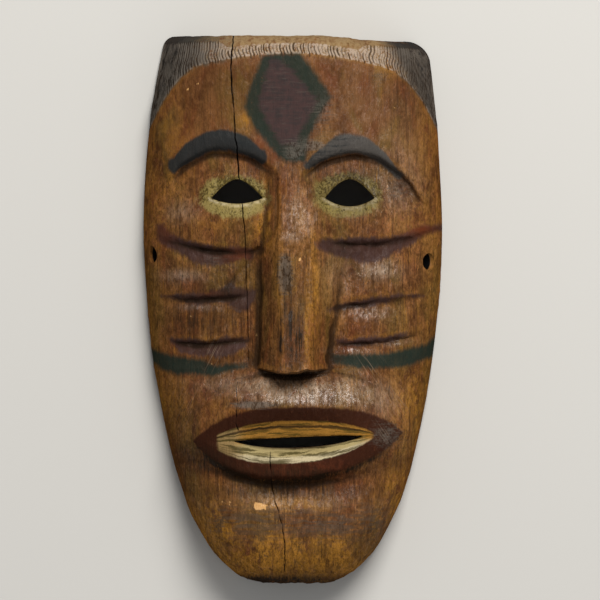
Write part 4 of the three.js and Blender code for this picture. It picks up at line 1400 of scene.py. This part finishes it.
    # Darker in the hollows of the carving, then the places marked dark with their painted shade, then the raw
    # inside, the cracks, and painted shade down the tie holes' bores
    hollowDarkening = between((mottle - 0.5) * 0.8 - cavity, 0.2, 1.4)
    darkeningBreakup = between(mottle * 0.5 + fibre * 0.5 + blotch * 0.5, 0.55, 0.9)
    rawInside = f.mixColour(between(grain, 0.4, 0.65), "inside", "woodDeep")
    colour = f.coats(
        colour,
        (hollowDarkening * (0.8 - between(read("across"), 3.5, 5) * 0.5), "dark"),
        # the places marked dark: grime, and painted shade in the crease, under the lower lip, below the brows
        # and along the chin's edge
        (read("dark") * darkeningBreakup, "dark"),
        (read("behind"), rawInside),
        (1 - between(read("crackAndBoreShade"), -0.12, 0.16), "crackAndBoreShade"),
    )

    # Matte where it is painted and along the rim, oiled where hands have rubbed it
    def bumps(height):
        return f.node("ShaderNodeBump", {}, {"Height": height, "Strength": 0.9, "Distance": 1.0 * mm})

    painted = green * 0.7 + purple * 0.6 + brow * 0.6 + red * 0.4 + lips * 0.6
    painted = painted + hairCover * 0.3 + smeared * 0.5 + read("behind")
    rubbed = between(mottle * 0.5 + read("hazeAndHighlight"), 0.1, 1.2) * between(1 - fleck, 0.40, 0.58)
    oiled = (1 - read("rim")) * (1 - painted) * (0.04 + rubbed * 0.9)
    matte = f.shader(colour, 0.9, 0.0, Normal=bumps(fibre * 0.5 + grain * 0.3 + pores * 0.3 + mottle * 0.7))
    polished = bumps(fleck * 0.35 + mottle * 1.1 + grain * 0.4)
    shiny = f.shader(colour, 0.16 + mottle * 0.2, 0.8, Normal=polished)
    return f.finished(f.node("ShaderNodeMixShader", {}, {0: oiled, 1: matte, 2: shiny}))


mask.data.materials.clear()
mask.data.materials.append(woodFinish())
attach(mask, "root")
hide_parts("mask")
print("finish laid on")


# The stage: a pale floor, a broad soft lamp beyond the forehead, and a camera straight above
stage = dict(
    floorSize=8, floorColour=(0.42, 0.415, 0.40, 1), floorRoughness=0.8, floorBelow=0.2,
    lamps=[
        dict(name="key", place=(0.42, 1.25, 1.9), size=1.0, power=80, colour=(1, 0.97, 0.92)),
        dict(name="fill", place=(1.1, -1.5, 1.5), size=1.4, power=6, colour=(1, 0.98, 0.96)),
    ],
    world=(0.90, 0.90, 0.90, 1), worldStrength=0.45,
)
photograph = dict(middle=(3.9, 5.0), frameWidth=330, distance=4000, focus=20, clipEnd=50)


def addFloor():
    half = stage["floorSize"] / 2 / mm
    corners = np.array([[-half, -half, 0], [half, -half, 0], [half, half, 0], [-half, half, 0]], float)
    corners[:, 2] = -stage["floorBelow"]
    floor = placed("floor", corners, [np.array([[0, 1, 2, 3]])])
    f = Finish("pale floor")
    floor.data.materials.append(f.finished(f.shader(stage["floorColour"], stage["floorRoughness"], 0.5)))


def addLamp(lamp):
    data = bpy.data.lights.new(lamp["name"], "AREA")
    data.size = lamp["size"]
    data.energy = lamp["power"]
    data.color = lamp["colour"]
    obj = bpy.data.objects.new(lamp["name"], data)
    bpy.context.scene.collection.objects.link(obj)
    obj.location = lamp["place"]
    obj.rotation_euler = (-obj.location).to_track_quat("-Z", "Y").to_euler()


def addCamera():
    # Straight above, far enough off for a long lens to give the photograph's flat view
    data = bpy.data.cameras.new("camera")
    away = (photograph["distance"] - photograph["focus"]) * mm
    data.lens = data.sensor_width * away / (photograph["frameWidth"] * mm)
    data.clip_end = photograph["clipEnd"]
    camera = bpy.data.objects.new("camera", data)
    bpy.context.scene.collection.objects.link(camera)
    x, y = photograph["middle"]
    camera.location = (x * mm, y * mm, photograph["distance"] * mm)
    bpy.context.scene.camera = camera


def addWorld():
    world = bpy.data.worlds.new("studio")
    world.use_nodes = True
    sky = world.node_tree.nodes["Background"]
    sky.inputs["Color"].default_value = stage["world"]
    sky.inputs["Strength"].default_value = stage["worldStrength"]
    bpy.context.scene.world = world


addFloor()
for lamp in stage["lamps"]:
    addLamp(lamp)
addCamera()
addWorld()
bpy.context.scene.view_settings.view_transform = "Standard"
print("stage set")
